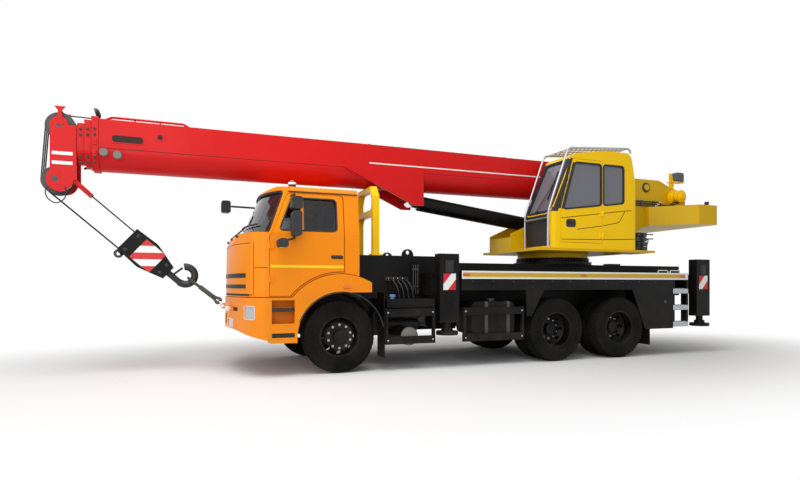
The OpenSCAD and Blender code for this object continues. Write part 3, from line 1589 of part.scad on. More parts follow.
module boom_base() {
  color(boom_red) {
    difference() {
      union() {
        boom_tube(0);
        translate([boom_tail_x, 0, 0]) rotate([90, 0, 90]) linear_extrude(height = tail_pad_len) boom_shape(0, 0);
        rod_across(boom_pin_x, boom_pin_z, foot_boss_r, -foot_boss_half_w, foot_boss_half_w);
        block(boom_pin_x, boom_tail_x + over, -boom_half_w, boom_half_w,
          boom_pin_z - foot_boss_r, boom_pin_z + foot_boss_r);
      }
      rod_across(boom_pin_x, boom_pin_z, boom_pin_r + fit_gap, -boom_half_w * 2, boom_half_w * 2);
    }
    both_sides() across([[bracket_front_x, bracket_front_z], [bracket_tip_x, bracket_tip_z],
      [bracket_rear_x, bracket_tip_z], [bracket_rear_x, bracket_front_z]], bracket_y0 - over, bracket_y0 + bracket_t);
    rod_across(rod_eye_x, rod_eye_z, eye_pin_r, cyl_eye_w / 2 + run_gap, bracket_pin_half);
    rod_across(rod_eye_x, rod_eye_z, eye_pin_r, -bracket_pin_half, -cyl_eye_w / 2 - run_gap);
  }
}

module boom_section_2() {
  color(boom_red) {
    boom_tube(1);
    tail_pad(1);
  }
}

module boom_section_3() {
  color(boom_red) {
    boom_tube(2);
    tail_pad(2);
  }
}

// Boom tip with its head plates

head_x0 = collar_x(3);
head_plate_y = 175;
head_plate_t = 25;
head_top_x = 3660;
head_top_z = 3440;
head_low_x = 3710;
head_low_z = 2700;
head_plate_r = 110;
head_front_x = 3770;
head_sheave_r = 185;
head_pin_r = 40;
sheave_t = 45;
sheave_ys = [-100, 0, 100];
groove_d = 18;
head_arm_r = 32;
head_arm_reach = 400;
head_arm_drop = 170;
head_arm_set = 150;
head_arm_rise = 60;
head_arm_tip = [head_low_x - head_arm_reach, head_low_z - head_arm_drop];
head_arm_root = [head_low_x - head_arm_set, head_low_z + head_arm_rise];
head_arm_y = 130;
head_bar_r = 14;
head_low_plate_r = 165;
tip_lap = 10;

module head_plate() {
  difference() {
    union() {
      block(head_x0, head_front_x, head_plate_y, head_plate_y + head_plate_t, head_low_z, head_top_z);
      rod_across(head_top_x, head_top_z, head_plate_r, head_plate_y, head_plate_y + head_plate_t);
      rod_across(head_low_x - head_plate_r / 2, head_low_z, head_low_plate_r, head_plate_y, head_plate_y + head_plate_t);
      block(head_x0 - over, head_x0 + 2 * head_plate_t, half_w(3) - boom_wall, head_plate_y + over,
        low_z(3) + half_w(3), high_z(3));
    }
    rod_across(head_top_x, head_top_z, head_pin_r + fit_gap, 0, 2 * head_plate_y);
    rod_across(head_low_x, head_low_z, head_pin_r + fit_gap, 0, 2 * head_plate_y);
  }
}

module boom_tip() {
  color(boom_red) {
    boom_ring(3, section_tails[3], head_x0 + tip_lap, 0, -boom_wall);
    tail_pad(3);
    rod_across(head_arm_tip.x, head_arm_tip.y, head_bar_r, -head_arm_y, head_arm_y);
    both_sides() {
      head_plate();
      bar([head_arm_root.x, head_arm_y + head_arm_r, head_arm_root.y],
        [head_arm_tip.x, head_arm_y, head_arm_tip.y], head_arm_r);
      block(head_arm_root.x - head_arm_r, head_arm_root.x + head_arm_r, head_arm_y, head_plate_y + over,
        head_arm_root.y - head_arm_r, head_arm_root.y + head_arm_r);
    }
  }
}

function sheave_section() =
  let (r = head_sheave_r, h = sheave_t / 2)
  [[0, -h], [r, -h], [r - groove_d, 0], [r, h], [0, h]];

module sheave_set(x, z) {
  for (y = sheave_ys) translate([x, y, z]) rotate([90, 0, 0]) rotate_extrude() polygon(sheave_section());
  rod_across(x, z, head_pin_r, -head_plate_y - head_plate_t, head_plate_y + head_plate_t);
}

module head_sheaves() {
  color("#4a4b50") {
    sheave_set(head_top_x, head_top_z);
    sheave_set(head_low_x, head_low_z);
  }
}

// Hook block on its taut falls, drawn hanging plumb and turned to the stowed angle

rope_r = 9;
fall_ys = [sheave_ys[0], sheave_ys[2]];
fall_back_ys = [-50, 50];
fall_front_x = head_sheave_r - groove_d + (rope_r + fit_gap) * norm([sheave_t / 2, groove_d]) / (sheave_t / 2);
fall_back_x = -140;
fall_anchor_z = 412;
fall_back_z = fall_anchor_z + head_bar_r + fit_gap;
block_half_w = 215;
block_top_half_w = 195;
block_low_half_w = 110;
block_half_y = 125;
shank_r = 45;
shank_len = 90;
hook_bowl_r = 130;
hook_stock_r = 52;
hook_drop = 330;

module at_falls() {
  translate([head_low_x, 0, head_low_z]) rotate([0, fall_angle, 0]) children();
}

module hook_block() {
  z1 = -fall_len;
  z0 = -fall_len - hook_block_len;
  mid = (z0 + z1) / 2;
  color(black_paint) at_falls() {
    difference() {
      across(rounded([[-block_low_half_w, z0, 0], [block_low_half_w, z0, 0], [block_half_w, mid, block_half_w],
        [block_top_half_w, z1, 0], [-block_top_half_w, z1, 0], [-block_half_w, mid, block_half_w]]),
        -block_half_y, block_half_y);
      translate([0, 0, z0 - over]) cylinder(r = shank_r + fit_gap, h = shank_len + over);
    }
    for (y = fall_ys) translate([fall_front_x, y, z1 - over]) cylinder(r = rope_r, h = fall_len + over);
    for (y = fall_back_ys)
      translate([fall_back_x, y, z1 - over]) cylinder(r = rope_r, h = fall_len + over - fall_back_z);
  }
}

module hook() {
  z0 = -fall_len - hook_block_len;
  color("#2b2c30") at_falls() translate([0, 0, z0]) mirror([1, 0, 0]) {
    translate([0, 0, -hook_drop + hook_bowl_r]) cylinder(r = shank_r, h = hook_drop - hook_bowl_r + shank_len);
    translate([hook_bowl_r, 0, -hook_drop + hook_bowl_r]) rotate([90, 0, 0]) rotate([0, 0, 180])
      rotate_extrude(angle = 230) translate([hook_bowl_r, 0]) circle(r = hook_stock_r);
  }
}

// Placing of every node in the shared frame

frame_shift = -(head_low_x + head_sheave_r + cw_rear_x) / 2;

module placed() {
  translate([frame_shift, 0, 0]) children();
}

placed() {
  chassis_frame();
  crane_base();
  deck_panels();
  engine();
  axles_and_springs();
  cab_shell();
  cab_glass();
  cab_interior();
  cab_fittings();
  bumper();
  lamps();
  front_arches();
  boom_rest();
  side_tanks();
  door_panel();  // door_left
  door_pane();  // door_left_glass
  door_mirrors();  // mirrors_left
  right_hand() door_panel();  // door_right
  right_hand() door_pane();  // door_right_glass
  right_hand() door_mirrors();  // mirrors_right
  knuckle();  // knuckle_left
  right_hand() knuckle();  // knuckle_right
  wheel_at(0, front_wheel_y, 1) tyre_ring(0);  // tyre_front_left
  wheel_at(0, front_wheel_y, 1) front_rim();  // rim_front_left
  wheel_at(0, front_wheel_y, -1) tyre_ring(0);  // tyre_front_right
  wheel_at(0, front_wheel_y, -1) front_rim();  // rim_front_right
  wheel_at(mid_axle_x, rear_wheel_y, 1) twin_tyres();  // tyres_mid_left
  wheel_at(mid_axle_x, rear_wheel_y, 1) twin_rims();  // rims_mid_left
  wheel_at(mid_axle_x, rear_wheel_y, -1) twin_tyres();  // tyres_mid_right
  wheel_at(mid_axle_x, rear_wheel_y, -1) twin_rims();  // rims_mid_right
  wheel_at(rear_axle_x, rear_wheel_y, 1) twin_tyres();  // tyres_rear_left
  wheel_at(rear_axle_x, rear_wheel_y, 1) twin_rims();  // rims_rear_left
  wheel_at(rear_axle_x, rear_wheel_y, -1) twin_tyres();  // tyres_rear_right
  wheel_at(rear_axle_x, rear_wheel_y, -1) twin_rims();  // rims_rear_right
  outrigger_beam(front_jack_x, 1);  // beam_front_left
  outrigger_jack(front_jack_x);  // jack_front_left
  right_hand() outrigger_beam(front_jack_x, -1);  // beam_front_right
  right_hand() outrigger_jack(front_jack_x);  // jack_front_right
  outrigger_beam(rear_jack_x, 1);  // beam_rear_left
  outrigger_jack(rear_jack_x);  // jack_rear_left
  right_hand() outrigger_beam(rear_jack_x, -1);  // beam_rear_right
  right_hand() outrigger_jack(rear_jack_x);  // jack_rear_right
  turntable();
  counterweight();
  winch();
  upper_cab();
  upper_cab_door();
  upper_cab_glass();
  upper_door_glass();
  upper_cab_interior();
  cab_rails();
  cylinder_barrel();
  cylinder_rod();
  boom_base();
  boom_section_2();
  boom_section_3();
  boom_tip();
  head_sheaves();
  hook_block();
  hook();
}
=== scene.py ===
"""Dresses a three-axle truck crane: paint, tyres, ropes, lamps, trim and a studio around its frame."""

import math
from functools import cache, reduce

import bpy
import numpy as np
from bpy.props import FloatProperty, FloatVectorProperty, IntProperty, PointerProperty
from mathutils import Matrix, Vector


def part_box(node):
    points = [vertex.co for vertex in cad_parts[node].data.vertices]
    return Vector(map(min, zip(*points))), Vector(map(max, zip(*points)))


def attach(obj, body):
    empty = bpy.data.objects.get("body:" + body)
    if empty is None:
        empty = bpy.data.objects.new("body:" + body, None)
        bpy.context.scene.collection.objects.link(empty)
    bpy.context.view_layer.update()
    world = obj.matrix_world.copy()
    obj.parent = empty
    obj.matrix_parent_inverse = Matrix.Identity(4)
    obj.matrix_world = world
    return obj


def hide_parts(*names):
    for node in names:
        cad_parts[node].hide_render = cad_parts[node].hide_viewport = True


bl_info = {
    "name": "Truck Crane Looks",
    "version": (1, 0, 0),
    "blender": (4, 5, 0),
    "location": "View3D > Sidebar > Crane",
    "description": "Paint, tyres, ropes, lamps and trim for a truck crane, worked out from its frame",
    "category": "Add Mesh",
}

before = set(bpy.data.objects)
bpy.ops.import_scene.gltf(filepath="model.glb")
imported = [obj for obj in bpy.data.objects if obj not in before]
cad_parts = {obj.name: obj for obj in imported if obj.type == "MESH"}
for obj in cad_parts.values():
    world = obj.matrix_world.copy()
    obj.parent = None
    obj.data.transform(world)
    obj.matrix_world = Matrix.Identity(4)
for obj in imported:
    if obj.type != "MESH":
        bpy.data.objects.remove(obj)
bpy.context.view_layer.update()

# Every place below is in metres from the middle of the front axle.
# A piece is shifted to the frame when it is made.
FRONT_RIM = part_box("rim_front_left")
ORIGIN = np.array([(FRONT_RIM[0].x + FRONT_RIM[1].x) / 2, 0, 0])
LEFT, UP = (0, 1, 0), (0, 0, 1)


def box(node):
    """Lowest and highest corners of a node."""
    low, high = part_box(node)
    return np.array(low) - ORIGIN, np.array(high) - ORIGIN


def middle(node):
    """Middle of a node's box."""
    return sum(box(node)) / 2


WHEEL_Z = middle("rim_front_left")[2]
CAB_SIDE_Y = box("cab_shell")[1][1]
DECK_SIDE_Y = box("deck_panels")[1][1]
BOOM_TOP_Z = 3.55
BOOM_SIDE_Y = 0.28

# Cab front: the screen leans back from its foot and bows across the truck
SCREEN_FOOT_X = 1.29
SCREEN_FOOT_Z = 1.985
SCREEN_RAKE = math.radians(24)
SCREEN_BOW_R = 2.3
SIDE_TAPER = 0.095 / 0.655


def screen_x(y, z):
    """Distance of the windscreen's face from the front axle: its foot, less its rake and its bow."""
    bow = np.sqrt(SCREEN_BOW_R**2 - np.square(y)) - SCREEN_BOW_R
    return SCREEN_FOOT_X + bow / math.cos(SCREEN_RAKE) - (z - SCREEN_FOOT_Z) * math.tan(SCREEN_RAKE)


def cab_side_y(z):
    """Half width of the cab: upright to the belt, then leaning in to the eave."""
    return CAB_SIDE_Y - SIDE_TAPER * np.maximum(z - SCREEN_FOOT_Z, 0)


# Forms: arrays of points with arrays of faces


class Form:
    """A surface, as an array of points and face arrays, each of them with faces of one size."""

    def __init__(self, points, faces):
        self.points = np.asarray(points, float).reshape(-1, 3)
        self.faces = [np.asarray(f, int) for f in faces]

    def __add__(self, other):
        step = len(self.points)
        return Form(np.vstack([self.points, other.points]), self.faces + [f + step for f in other.faces])

    def moved(self, offset):
        return Form(self.points + np.asarray(offset, float), self.faces)

    def turned(self, about, axis, degrees):
        """Turned by an angle about an axis through a point."""
        return Form((self.points - about) @ turns(axis, [degrees])[0].T + about, self.faces)

    def mirrored(self):
        """Reflected in the truck's middle plane, with the faces turned outwards again."""
        return Form(self.points * (1, -1, 1), [f[:, ::-1] for f in self.faces])

    def both_sides(self):
        return self + self.mirrored()

    def on_side(self, out):
        """The form itself on the left, and its mirror image on the right."""
        return self if out > 0 else self.mirrored()

    def copies(self, points):
        """Joins stacked copies of the points, of shape (copies, points, 3), with the faces stepped on."""
        steps = np.arange(len(points)) * len(self.points)
        faces = [(f + steps[:, None, None]).reshape(-1, f.shape[1]) for f in self.faces]
        return Form(points.reshape(-1, 3), faces)

    def repeated(self, offsets):
        """A copy at each offset."""
        offsets = np.asarray(offsets, float).reshape(-1, 1, 3)
        return self.copies(self.points + offsets)

    def spun(self, about, axis, degrees):
        """A copy at each angle about an axis through a point."""
        return self.copies((self.points - about) @ turns(axis, degrees).transpose(0, 2, 1) + about)

    def outward(self):
        """Faces turned so that the volume they enclose, summed from the origin, is positive."""
        volume = 0
        for f in self.faces:
            fan = self.points[f]
            middle_edges = np.cross(fan[:, 1:-1], fan[:, 2:])
            volume += np.einsum("fj,fkj->", fan[:, 0], middle_edges)
        return self if volume > 0 else Form(self.points, [f[:, ::-1] for f in self.faces])


def coords(x, y, z):
    """Points from their coordinates, any of which may be one number for all."""
    return np.stack(np.broadcast_arrays(x, y, z), -1)


def in_plane(pairs, y):
    """Points from (x, z) pairs at one distance to the left."""
    x, z = np.transpose(pairs)
    return coords(x, y, z)


def unit(v):
    """Vectors of length 1 in the same directions."""
    v = np.asarray(v, float)
    return v / np.linalg.norm(v, axis=-1, keepdims=True)


def turns(axis, degrees):
    """Turning matrices about an axis, one for each angle, by Rodrigues' formula."""
    x, y, z = unit(axis)
    cross = np.array([[0, -z, y], [z, 0, -x], [-y, x, 0]])
    a = np.radians(np.asarray(degrees, float))[:, None, None]
    return np.eye(3) + np.sin(a) * cross + (1 - np.cos(a)) * (cross @ cross)


def grid_faces(rows, columns, close_rows=False):
    """Quads of a grid whose columns close on themselves, and its rows too if asked."""
    i = np.arange(rows if close_rows else rows - 1)[:, None]
    j = np.arange(columns)[None]
    i2, j2 = (i + 1) % rows, (j + 1) % columns
    quads = [i * columns + j, i * columns + j2, i2 * columns + j2, i2 * columns + j]
    return np.stack(np.broadcast_arrays(*quads), -1).reshape(-1, 4)


def lofted(rings):
    """Closed rings of equal count joined in order, with a flat cap on the first and the last."""
    rows, columns = rings.shape[:2]
    caps = np.stack([np.arange(columns)[::-1], np.arange(columns) + (rows - 1) * columns])
    return Form(rings, [grid_faces(rows, columns), caps]).outward()


def looped(rings):
    """Closed rings joined in order and back to the first, as in a tyre or a seal."""
    rows, columns = rings.shape[:2]
    return Form(rings, [grid_faces(rows, columns, True)]).outward()


def open_sheet(points):
    """A sheet over a grid of points, open on all sides."""
    rows, columns = points.shape[:2]
    n = np.arange(rows * columns).reshape(rows, columns)
    quads = np.stack([n[:-1, :-1], n[:-1, 1:], n[1:, 1:], n[1:, :-1]], -1)
    return Form(points, [quads.reshape(-1, 4)])


def side_vectors(axis):
    """Two directions square to an axis and to each other."""
    axis = unit(axis)
    other = np.eye(3)[np.argmin(np.abs(axis))]
    first = unit(np.cross(axis, other))
    return first, np.cross(axis, first)


def rings_round(profile, origin, axis, sides):
    """A ring round an axis for each pair of (distance along the axis, radius)."""
    along, radius = np.asarray(profile, float).T[:, :, None, None]
    first, second = side_vectors(axis)
    turn = np.linspace(0, 2 * np.pi, sides, endpoint=False)[:, None]
    ring = np.cos(turn) * first + np.sin(turn) * second
    return np.asarray(origin, float) + along * unit(axis) + radius * ring


def revolved(profile, origin, axis, sides=24):
    """A profile carried round an axis, with flat ends."""
    return lofted(rings_round(profile, origin, axis, sides))


def ring_of(profile, origin, axis, sides=48):
    """A closed profile carried round an axis, as a hoop."""
    return looped(rings_round(profile, origin, axis, sides).swapaxes(0, 1))


def rod(start, end, radius, sides=12, edge=0.15):
    """A round bar between two points with its ends chamfered by a share of the radius."""
    start, end = np.asarray(start, float), np.asarray(end, float)
    length = np.linalg.norm(end - start)
    c = min(edge * radius, length / 3)
    profile = [(0, radius - c), (c, radius), (length - c, radius), (length, radius - c)]
    return revolved(profile, start, end - start, sides)


def curved(points, count):
    """Points spaced evenly in parameter on a Catmull-Rom curve through the given ones."""
    p = np.asarray(points, float)
    p = np.vstack([2 * p[0] - p[1], p, 2 * p[-1] - p[-2]])
    t = np.linspace(0, len(p) - 3, count)
    i = np.minimum(t.astype(int), len(p) - 4)
    s = (t - i)[:, None]
    a, b, c, d = (p[i + k] for k in range(4))
    return 0.5 * (2 * b + (c - a) * s + (2 * a - 5 * b + 4 * c - d) * s**2 + (3 * b - a - 3 * c + d) * s**3)


def swept(path, profile, up, closed=False):
    """A profile of (side, rise) pairs carried along a path, with its rise kept near up."""
    path, profile = np.asarray(path, float), np.asarray(profile, float)
    if closed:
        heading = unit(np.roll(path, -1, 0) - np.roll(path, 1, 0))
    else:
        heading = unit(np.gradient(path, axis=0))
    side = unit(np.cross(heading, np.broadcast_to(up, heading.shape)))
    rise = np.cross(side, heading)
    rings = path[:, None] + profile[None, :, :1] * side[:, None] + profile[None, :, 1:] * rise[:, None]
    return looped(rings) if closed else lofted(rings)


def circle(radius, sides):
    """Points round a circle."""
    turn = np.linspace(0, 2 * np.pi, sides, endpoint=False)
    return radius * np.stack([np.cos(turn), np.sin(turn)], -1)


def tube(path, radius, sides=10, closed=False):
    """A round tube along a path."""
    path = np.asarray(path, float)
    span = np.ptp(path, axis=0) + 1e-6 * np.arange(3)
    return swept(path, circle(radius, sides), np.eye(3)[np.argmin(span)], closed)


def spaced(points, count):
    """Points evenly spaced by length along an open line."""
    p = np.asarray(points, float)
    run = np.concatenate([[0], np.cumsum(np.linalg.norm(np.diff(p, axis=0), axis=1))])
    want = np.linspace(0, run[-1], count)
    return np.stack([np.interp(want, run, p[:, k]) for k in range(p.shape[1])], -1)


def resampled(outline, count):
    """Points evenly spaced by length along a closed outline."""
    return spaced(np.vstack([outline, outline[:1]]), count + 1)[:-1]


def eased(points, radius, steps=5):
    """An open line whose inner corners give way to curves that start and end a radius away from them."""
    p = np.asarray(points, float)
    corner = p[1:-1]
    before = corner + radius * unit(p[:-2] - corner)
    after = corner + radius * unit(p[2:] - corner)
    t = np.linspace(0, 1, steps + 1)[None, :, None]
    bends = (1 - t) ** 2 * before[:, None] + 2 * t * (1 - t) * corner[:, None] + t**2 * after[:, None]
    return np.vstack([p[:1], bends.reshape(-1, p.shape[1]), p[-1:]])


def rounded_outline(corners, radius, steps=4):
    """A polygon with each corner eased."""
    c = np.asarray(corners, float)
    return eased(np.vstack([c[-1:], c, c[:1]]), radius, steps)[1:-1]


def strip(path, half, rise, up, sink=0.004):
    """A flat bar with eased edges along a path, sunk a little into what carries it."""
    return swept(path, rectangle(-half, half, -sink, rise, 0.3 * min(half, rise), 1), up)


def rectangle(a0, a1, b0, b1, radius=0.0, steps=4):
    """A rectangle between two pairs of limits, with round corners if asked."""
    corners = [[a0, b0], [a1, b0], [a1, b1], [a0, b1]]
    return rounded_outline(corners, radius, steps) if radius else np.array(corners, float)


def inset(outline, depth):
    """An outline with every edge moved inwards, each corner along the line that halves it."""
    into, out = unit(outline - np.roll(outline, 1, 0)), unit(np.roll(outline, -1, 0) - outline)
    n1, n2 = into[:, ::-1] * (-1, 1), out[:, ::-1] * (-1, 1)
    x, y = outline.T
    turn = np.sign(np.sum(x * np.roll(y, -1) - np.roll(x, -1) * y))
    return outline + turn * depth * (n1 + n2) / (1 + np.sum(n1 * n2, 1, keepdims=True))


AXES = {"xz": (0, 2, 1), "yz": (1, 2, 0), "xy": (0, 1, 2)}


def slab(outline, low, high, plane="xz", edge=0.003):
    """An outline in a plane carried from one depth to another, with its edges chamfered."""
    outline = np.asarray(outline, float)
    inner = inset(outline, edge)
    first, second, across = AXES[plane]
    rings = np.empty((4, len(outline), 3))
    rings[:, :, [first, second]] = inner, outline, outline, inner
    rings[:, :, across] = np.array([low, low + edge, high - edge, high])[:, None]
    return lofted(rings)


def block(low, high, edge=0.004):
    """A box with chamfered edges."""
    low, high = np.minimum(low, high), np.maximum(low, high)
    return slab(rectangle(low[0], high[0], low[1], high[1], edge, 1), low[2], high[2], "xy", edge)


def bolt_head(radius, height, origin, axis):
    """A six-sided head on a round washer."""
    washer = revolved([(0, 1.5 * radius), (0.25 * height, 1.45 * radius)], origin, axis, 12)
    head = [(0.25 * height, radius), (0.85 * height, radius), (height, 0.8 * radius)]
    return washer + revolved(head, origin, axis, 6)


def join(forms):
    """Forms made one."""
    return reduce(Form.__add__, forms)


def draped(node, points, direction):
    """Where rays from points first meet a node, and the directions that its surface faces there."""
    points = np.atleast_2d(np.asarray(points, float))
    ways = np.broadcast_to(unit(direction), points.shape)
    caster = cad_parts[node]
    hits = [caster.ray_cast(tuple(p + ORIGIN), tuple(way)) for p, way in zip(points, ways)]
    if not all(hit[0] for hit in hits):
        raise RuntimeError(f"no surface of {node} along rays from {points[0]} to {points[-1]}")
    return np.array([hit[1] for hit in hits]) - ORIGIN, np.array([hit[2] for hit in hits])


def on_nose(node, y, z):
    """Points and outward directions where level rays from ahead of the truck meet a node."""
    y, z = np.broadcast_arrays(np.asarray(y, float), z)
    return draped(node, coords(4.0, y, z), (-1, 0, 0))


def on_top(node, x, y):
    """The point where a ray from above meets a node."""
    return draped(node, (x, y, 5), (0, 0, -1))[0][0]


def on_left(node, x, z):
    """The point where a level ray from the truck's left meets a node."""
    return draped(node, (x, 4, z), (0, -1, 0))[0][0]


def piece(name, body, finish, form, replaces=(), sharp=35, uv=None):
    """A mesh object of a form, shaded smooth below an angle, that rides on a body."""
    mesh = bpy.data.meshes.new(name)
    mesh.vertices.add(len(form.points))
    mesh.vertices.foreach_set("co", (form.points + ORIGIN).astype(np.float32).ravel())
    sizes = np.concatenate([np.full(len(f), f.shape[1]) for f in form.faces])
    mesh.loops.add(int(sizes.sum()))
    mesh.polygons.add(len(sizes))
    mesh.loops.foreach_set("vertex_index", np.concatenate([f.ravel() for f in form.faces]))
    mesh.polygons.foreach_set("loop_start", np.concatenate([[0], np.cumsum(sizes)[:-1]]))
    mesh.update(calc_edges=True)
    mesh.validate()
    if uv is not None:
        layer = mesh.uv_layers.new(name="UVMap")
        corners = np.concatenate([f.ravel() for f in form.faces])
        layer.data.foreach_set("uv", np.asarray(uv, np.float32)[corners].ravel())
    mesh.shade_smooth()
    mesh.set_sharp_from_angle(angle=math.radians(sharp))
    mesh.materials.append(FINISHES[finish])
    made = bpy.data.objects.new(name, mesh)
    bpy.context.scene.collection.objects.link(made)
    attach(made, body)
    if replaces:
        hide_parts(*replaces)
    return made


def rope_map(path, sides):
    """Map of a tube: metres along its path, and the share of the turn round it."""
    along = np.concatenate([[0], np.cumsum(np.linalg.norm(np.diff(path, axis=0), axis=1))])
    turn = np.linspace(0, 1, sides, endpoint=False)
    return np.stack(np.meshgrid(along, turn, indexing="ij"), -1).reshape(-1, 2)


def roped(name, body, finish, lines, radius, sides=10):
    """Ropes of one radius along lines, each of them a path and whether it closes on itself."""
    form = join(tube(path, radius, sides, closed) for path, closed in lines)
    uv = np.vstack([rope_map(path, sides) for path, _ in lines])
    return piece(name, body, finish, form, uv=uv)


def hose(name, body, points, radius):
    """A hose along a smooth curve through points."""
    path = curved(points, 32)
    made = piece(name, body, "hose", tube(path, radius, 12))


# Finishes

COLOUR, VALUE = "NodeSocketColor", "NodeSocketFloat"
SKIN = ("Colour", "Roughness", "Height")
FINISHES = {}


def linear(red, green, blue):
    """Linear colour of display values from 0 to 255."""
    c = np.array([red, green, blue]) / 255
    return tuple(np.where(c <= 0.04045, c / 12.92, ((c + 0.055) / 1.055) ** 2.4))


def node_group(name, inputs, outputs):
    """An empty shader group, with the sockets that it is given and those that it fills.

    A tuple as an input's default makes it a colour, and so does Colour as an output's name.
    """
    group = bpy.data.node_groups.new(name, "ShaderNodeTree")
    for label, value in inputs.items():
        kind = COLOUR if isinstance(value, tuple) else VALUE
        group.interface.new_socket(label, in_out="INPUT", socket_type=kind).default_value = value
    for label in outputs:
        kind = COLOUR if label == "Colour" else VALUE
        group.interface.new_socket(label, in_out="OUTPUT", socket_type=kind)
    return group, group.nodes.new("NodeGroupInput").outputs, group.nodes.new("NodeGroupOutput").inputs


def put(tree, socket, value):
    """Give a socket a plain value, or a link from another socket."""
    if isinstance(value, bpy.types.NodeSocket):
        tree.links.new(value, socket)
    else:
        socket.default_value = value


def add(tree, kind, **settings):
    """A node with its own settings, its inputs given by name or number through the values entry."""
    values = settings.pop("values", {})
    node = tree.nodes.new("ShaderNode" + kind)
    for key, value in settings.items():
        setattr(node, key, value)
    for key, value in values.items():
        put(tree, node.inputs[key], value)
    return node


def laid(tree, kind, **settings):
    """A node that is fed with the object's own coordinates."""
    node = add(tree, kind, **settings)
    put(tree, node.inputs["Vector"], add(tree, "TexCoord").outputs["Object"])
    return node


def maths(tree, operation, *terms, clamp=False):
    """A sum or other operation on sockets or plain numbers."""
    values = dict(enumerate(terms))
    return add(tree, "Math", operation=operation, use_clamp=clamp, values=values).outputs[0]


def ranged(tree, value, start, end, low=0.0, high=1.0, **settings):
    """A value carried from one range to another, and held at its ends."""
    values = {"Value": value, "From Min": start, "From Max": end, "To Min": low, "To Max": high}
    return add(tree, "MapRange", values=values, **settings).outputs[0]


def parts(tree, vector):
    """The X, Y and Z of a vector."""
    return add(tree, "SeparateXYZ", values={0: vector}).outputs


def mixed(tree, factor, first, second):
    """Mix of two colours by a factor: the first at 0, the second at 1."""
    return add(tree, "Mix", data_type="RGBA", values={0: factor, 6: first, 7: second}).outputs[2]


def toned(tree, colour, change):
    """A colour made lighter or darker by a share."""
    values = {"Color": colour, "Value": maths(tree, "ADD", change, 1.0)}
    return add(tree, "HueSaturation", values=values).outputs[0]


@cache
def film_group():
    """Paint or moulded skin: cloudy tone, road dust that thickens downwards, and a fine peel."""
    inputs = {"Colour": (0.8, 0.8, 0.8, 1), "Dust Colour": (0.09, 0.08, 0.065, 1)}
    inputs |= {"Dust": 0.2, "Tone": 0.1, "Roughness": 0.3, "Peel Scale": 90.0}
    group, given, out = node_group("Weathered Film", inputs, SKIN)
    cloud = laid(group, "TexNoise", values={"Scale": 2.3, "Detail": 6.0, "Roughness": 0.62}).outputs["Fac"]
    peel = laid(group, "TexNoise", values={"Scale": given["Peel Scale"], "Detail": 2.0}).outputs["Fac"]
    height = parts(group, add(group, "TexCoord").outputs["Object"])["Z"]
    low = ranged(group, height, 1.6, 0.2, 0.12, 1.0)
    dust = maths(group, "MULTIPLY", low, ranged(group, cloud, 0.38, 0.72))
    dust = maths(group, "MULTIPLY", dust, given["Dust"], clamp=True)
    tone = maths(group, "MULTIPLY", maths(group, "SUBTRACT", cloud, 0.5), given["Tone"])
    rough = maths(group, "ADD", given["Roughness"], maths(group, "MULTIPLY", dust, 0.35))
    rough = maths(group, "ADD", rough, maths(group, "MULTIPLY", tone, 0.4), clamp=True)
    shade = toned(group, given["Colour"], tone)
    put(group, out["Colour"], mixed(group, dust, shade, given["Dust Colour"]))
    put(group, out["Roughness"], rough)
    put(group, out["Height"], peel)
    return group


@cache
def brushed_group():
    """Metal drawn in one direction: noise stretched along a line for tone, roughness and height."""
    inputs = {"Colour": (0.6, 0.6, 0.6, 1), "Roughness": 0.3, "Scale": 30.0}
    group, given, out = node_group("Drawn Metal", inputs, SKIN)
    stretch = laid(group, "Mapping", values={"Scale": (0.15, 1.0, 1.0)}).outputs[0]
    noise = add(group, "TexNoise", values={"Vector": stretch, "Scale": given["Scale"], "Detail": 5.0})
    streak = noise.outputs["Fac"]
    tone = maths(group, "MULTIPLY", maths(group, "SUBTRACT", streak, 0.5), 0.35)
    put(group, out["Colour"], toned(group, given["Colour"], tone))
    put(group, out["Roughness"], maths(group, "ADD", given["Roughness"], tone, clamp=True))
    put(group, out["Height"], streak)
    return group


@cache
def bands_group():
    """Slanting bands across a plate's own map, as a mask of 0 and 1."""
    inputs = {"Bands": 2.0, "Slant": 1.0, "Shift": 0.0}
    group, given, out = node_group("Slanting Bands", inputs, ["Mask"])
    place = parts(group, add(group, "TexCoord").outputs["UV"])
    line = maths(group, "ADD", maths(group, "MULTIPLY", place["X"], given["Slant"]), place["Y"])
    line = maths(group, "ADD", maths(group, "MULTIPLY", line, given["Bands"]), given["Shift"])
    put(group, out["Mask"], maths(group, "GREATER_THAN", maths(group, "FRACT", line), 0.5))
    return group


@cache
def tread_plate_group():
    """Raised bars of a walking plate: two crossed rows of waves, on faces that look up."""
    group, given, out = node_group("Walking Plate", {"Scale": 9.0}, ["Height"])
    rows = []
    for turn in (math.radians(45), math.radians(-45)):
        turned = laid(group, "Mapping", values={"Rotation": (0, 0, turn)}).outputs[0]
        scaled = add(group, "VectorMath", operation="SCALE", values={0: turned, "Scale": given["Scale"]})
        place = parts(group, scaled.outputs[0])
        bars = []
        for axis, waves in (("X", 1), ("Y", 4)):
            wave = maths(group, "SINE", maths(group, "MULTIPLY", place[axis], 2 * math.pi * waves))
            bars.append(maths(group, "MAXIMUM", wave, 0.0))
        rows.append(maths(group, "MULTIPLY", *bars))
    facing = parts(group, add(group, "NewGeometry").outputs["True Normal"])
    level = maths(group, "GREATER_THAN", facing["Z"], 0.7)
    put(group, out["Height"], maths(group, "MULTIPLY", maths(group, "MAXIMUM", *rows), level))
    return group


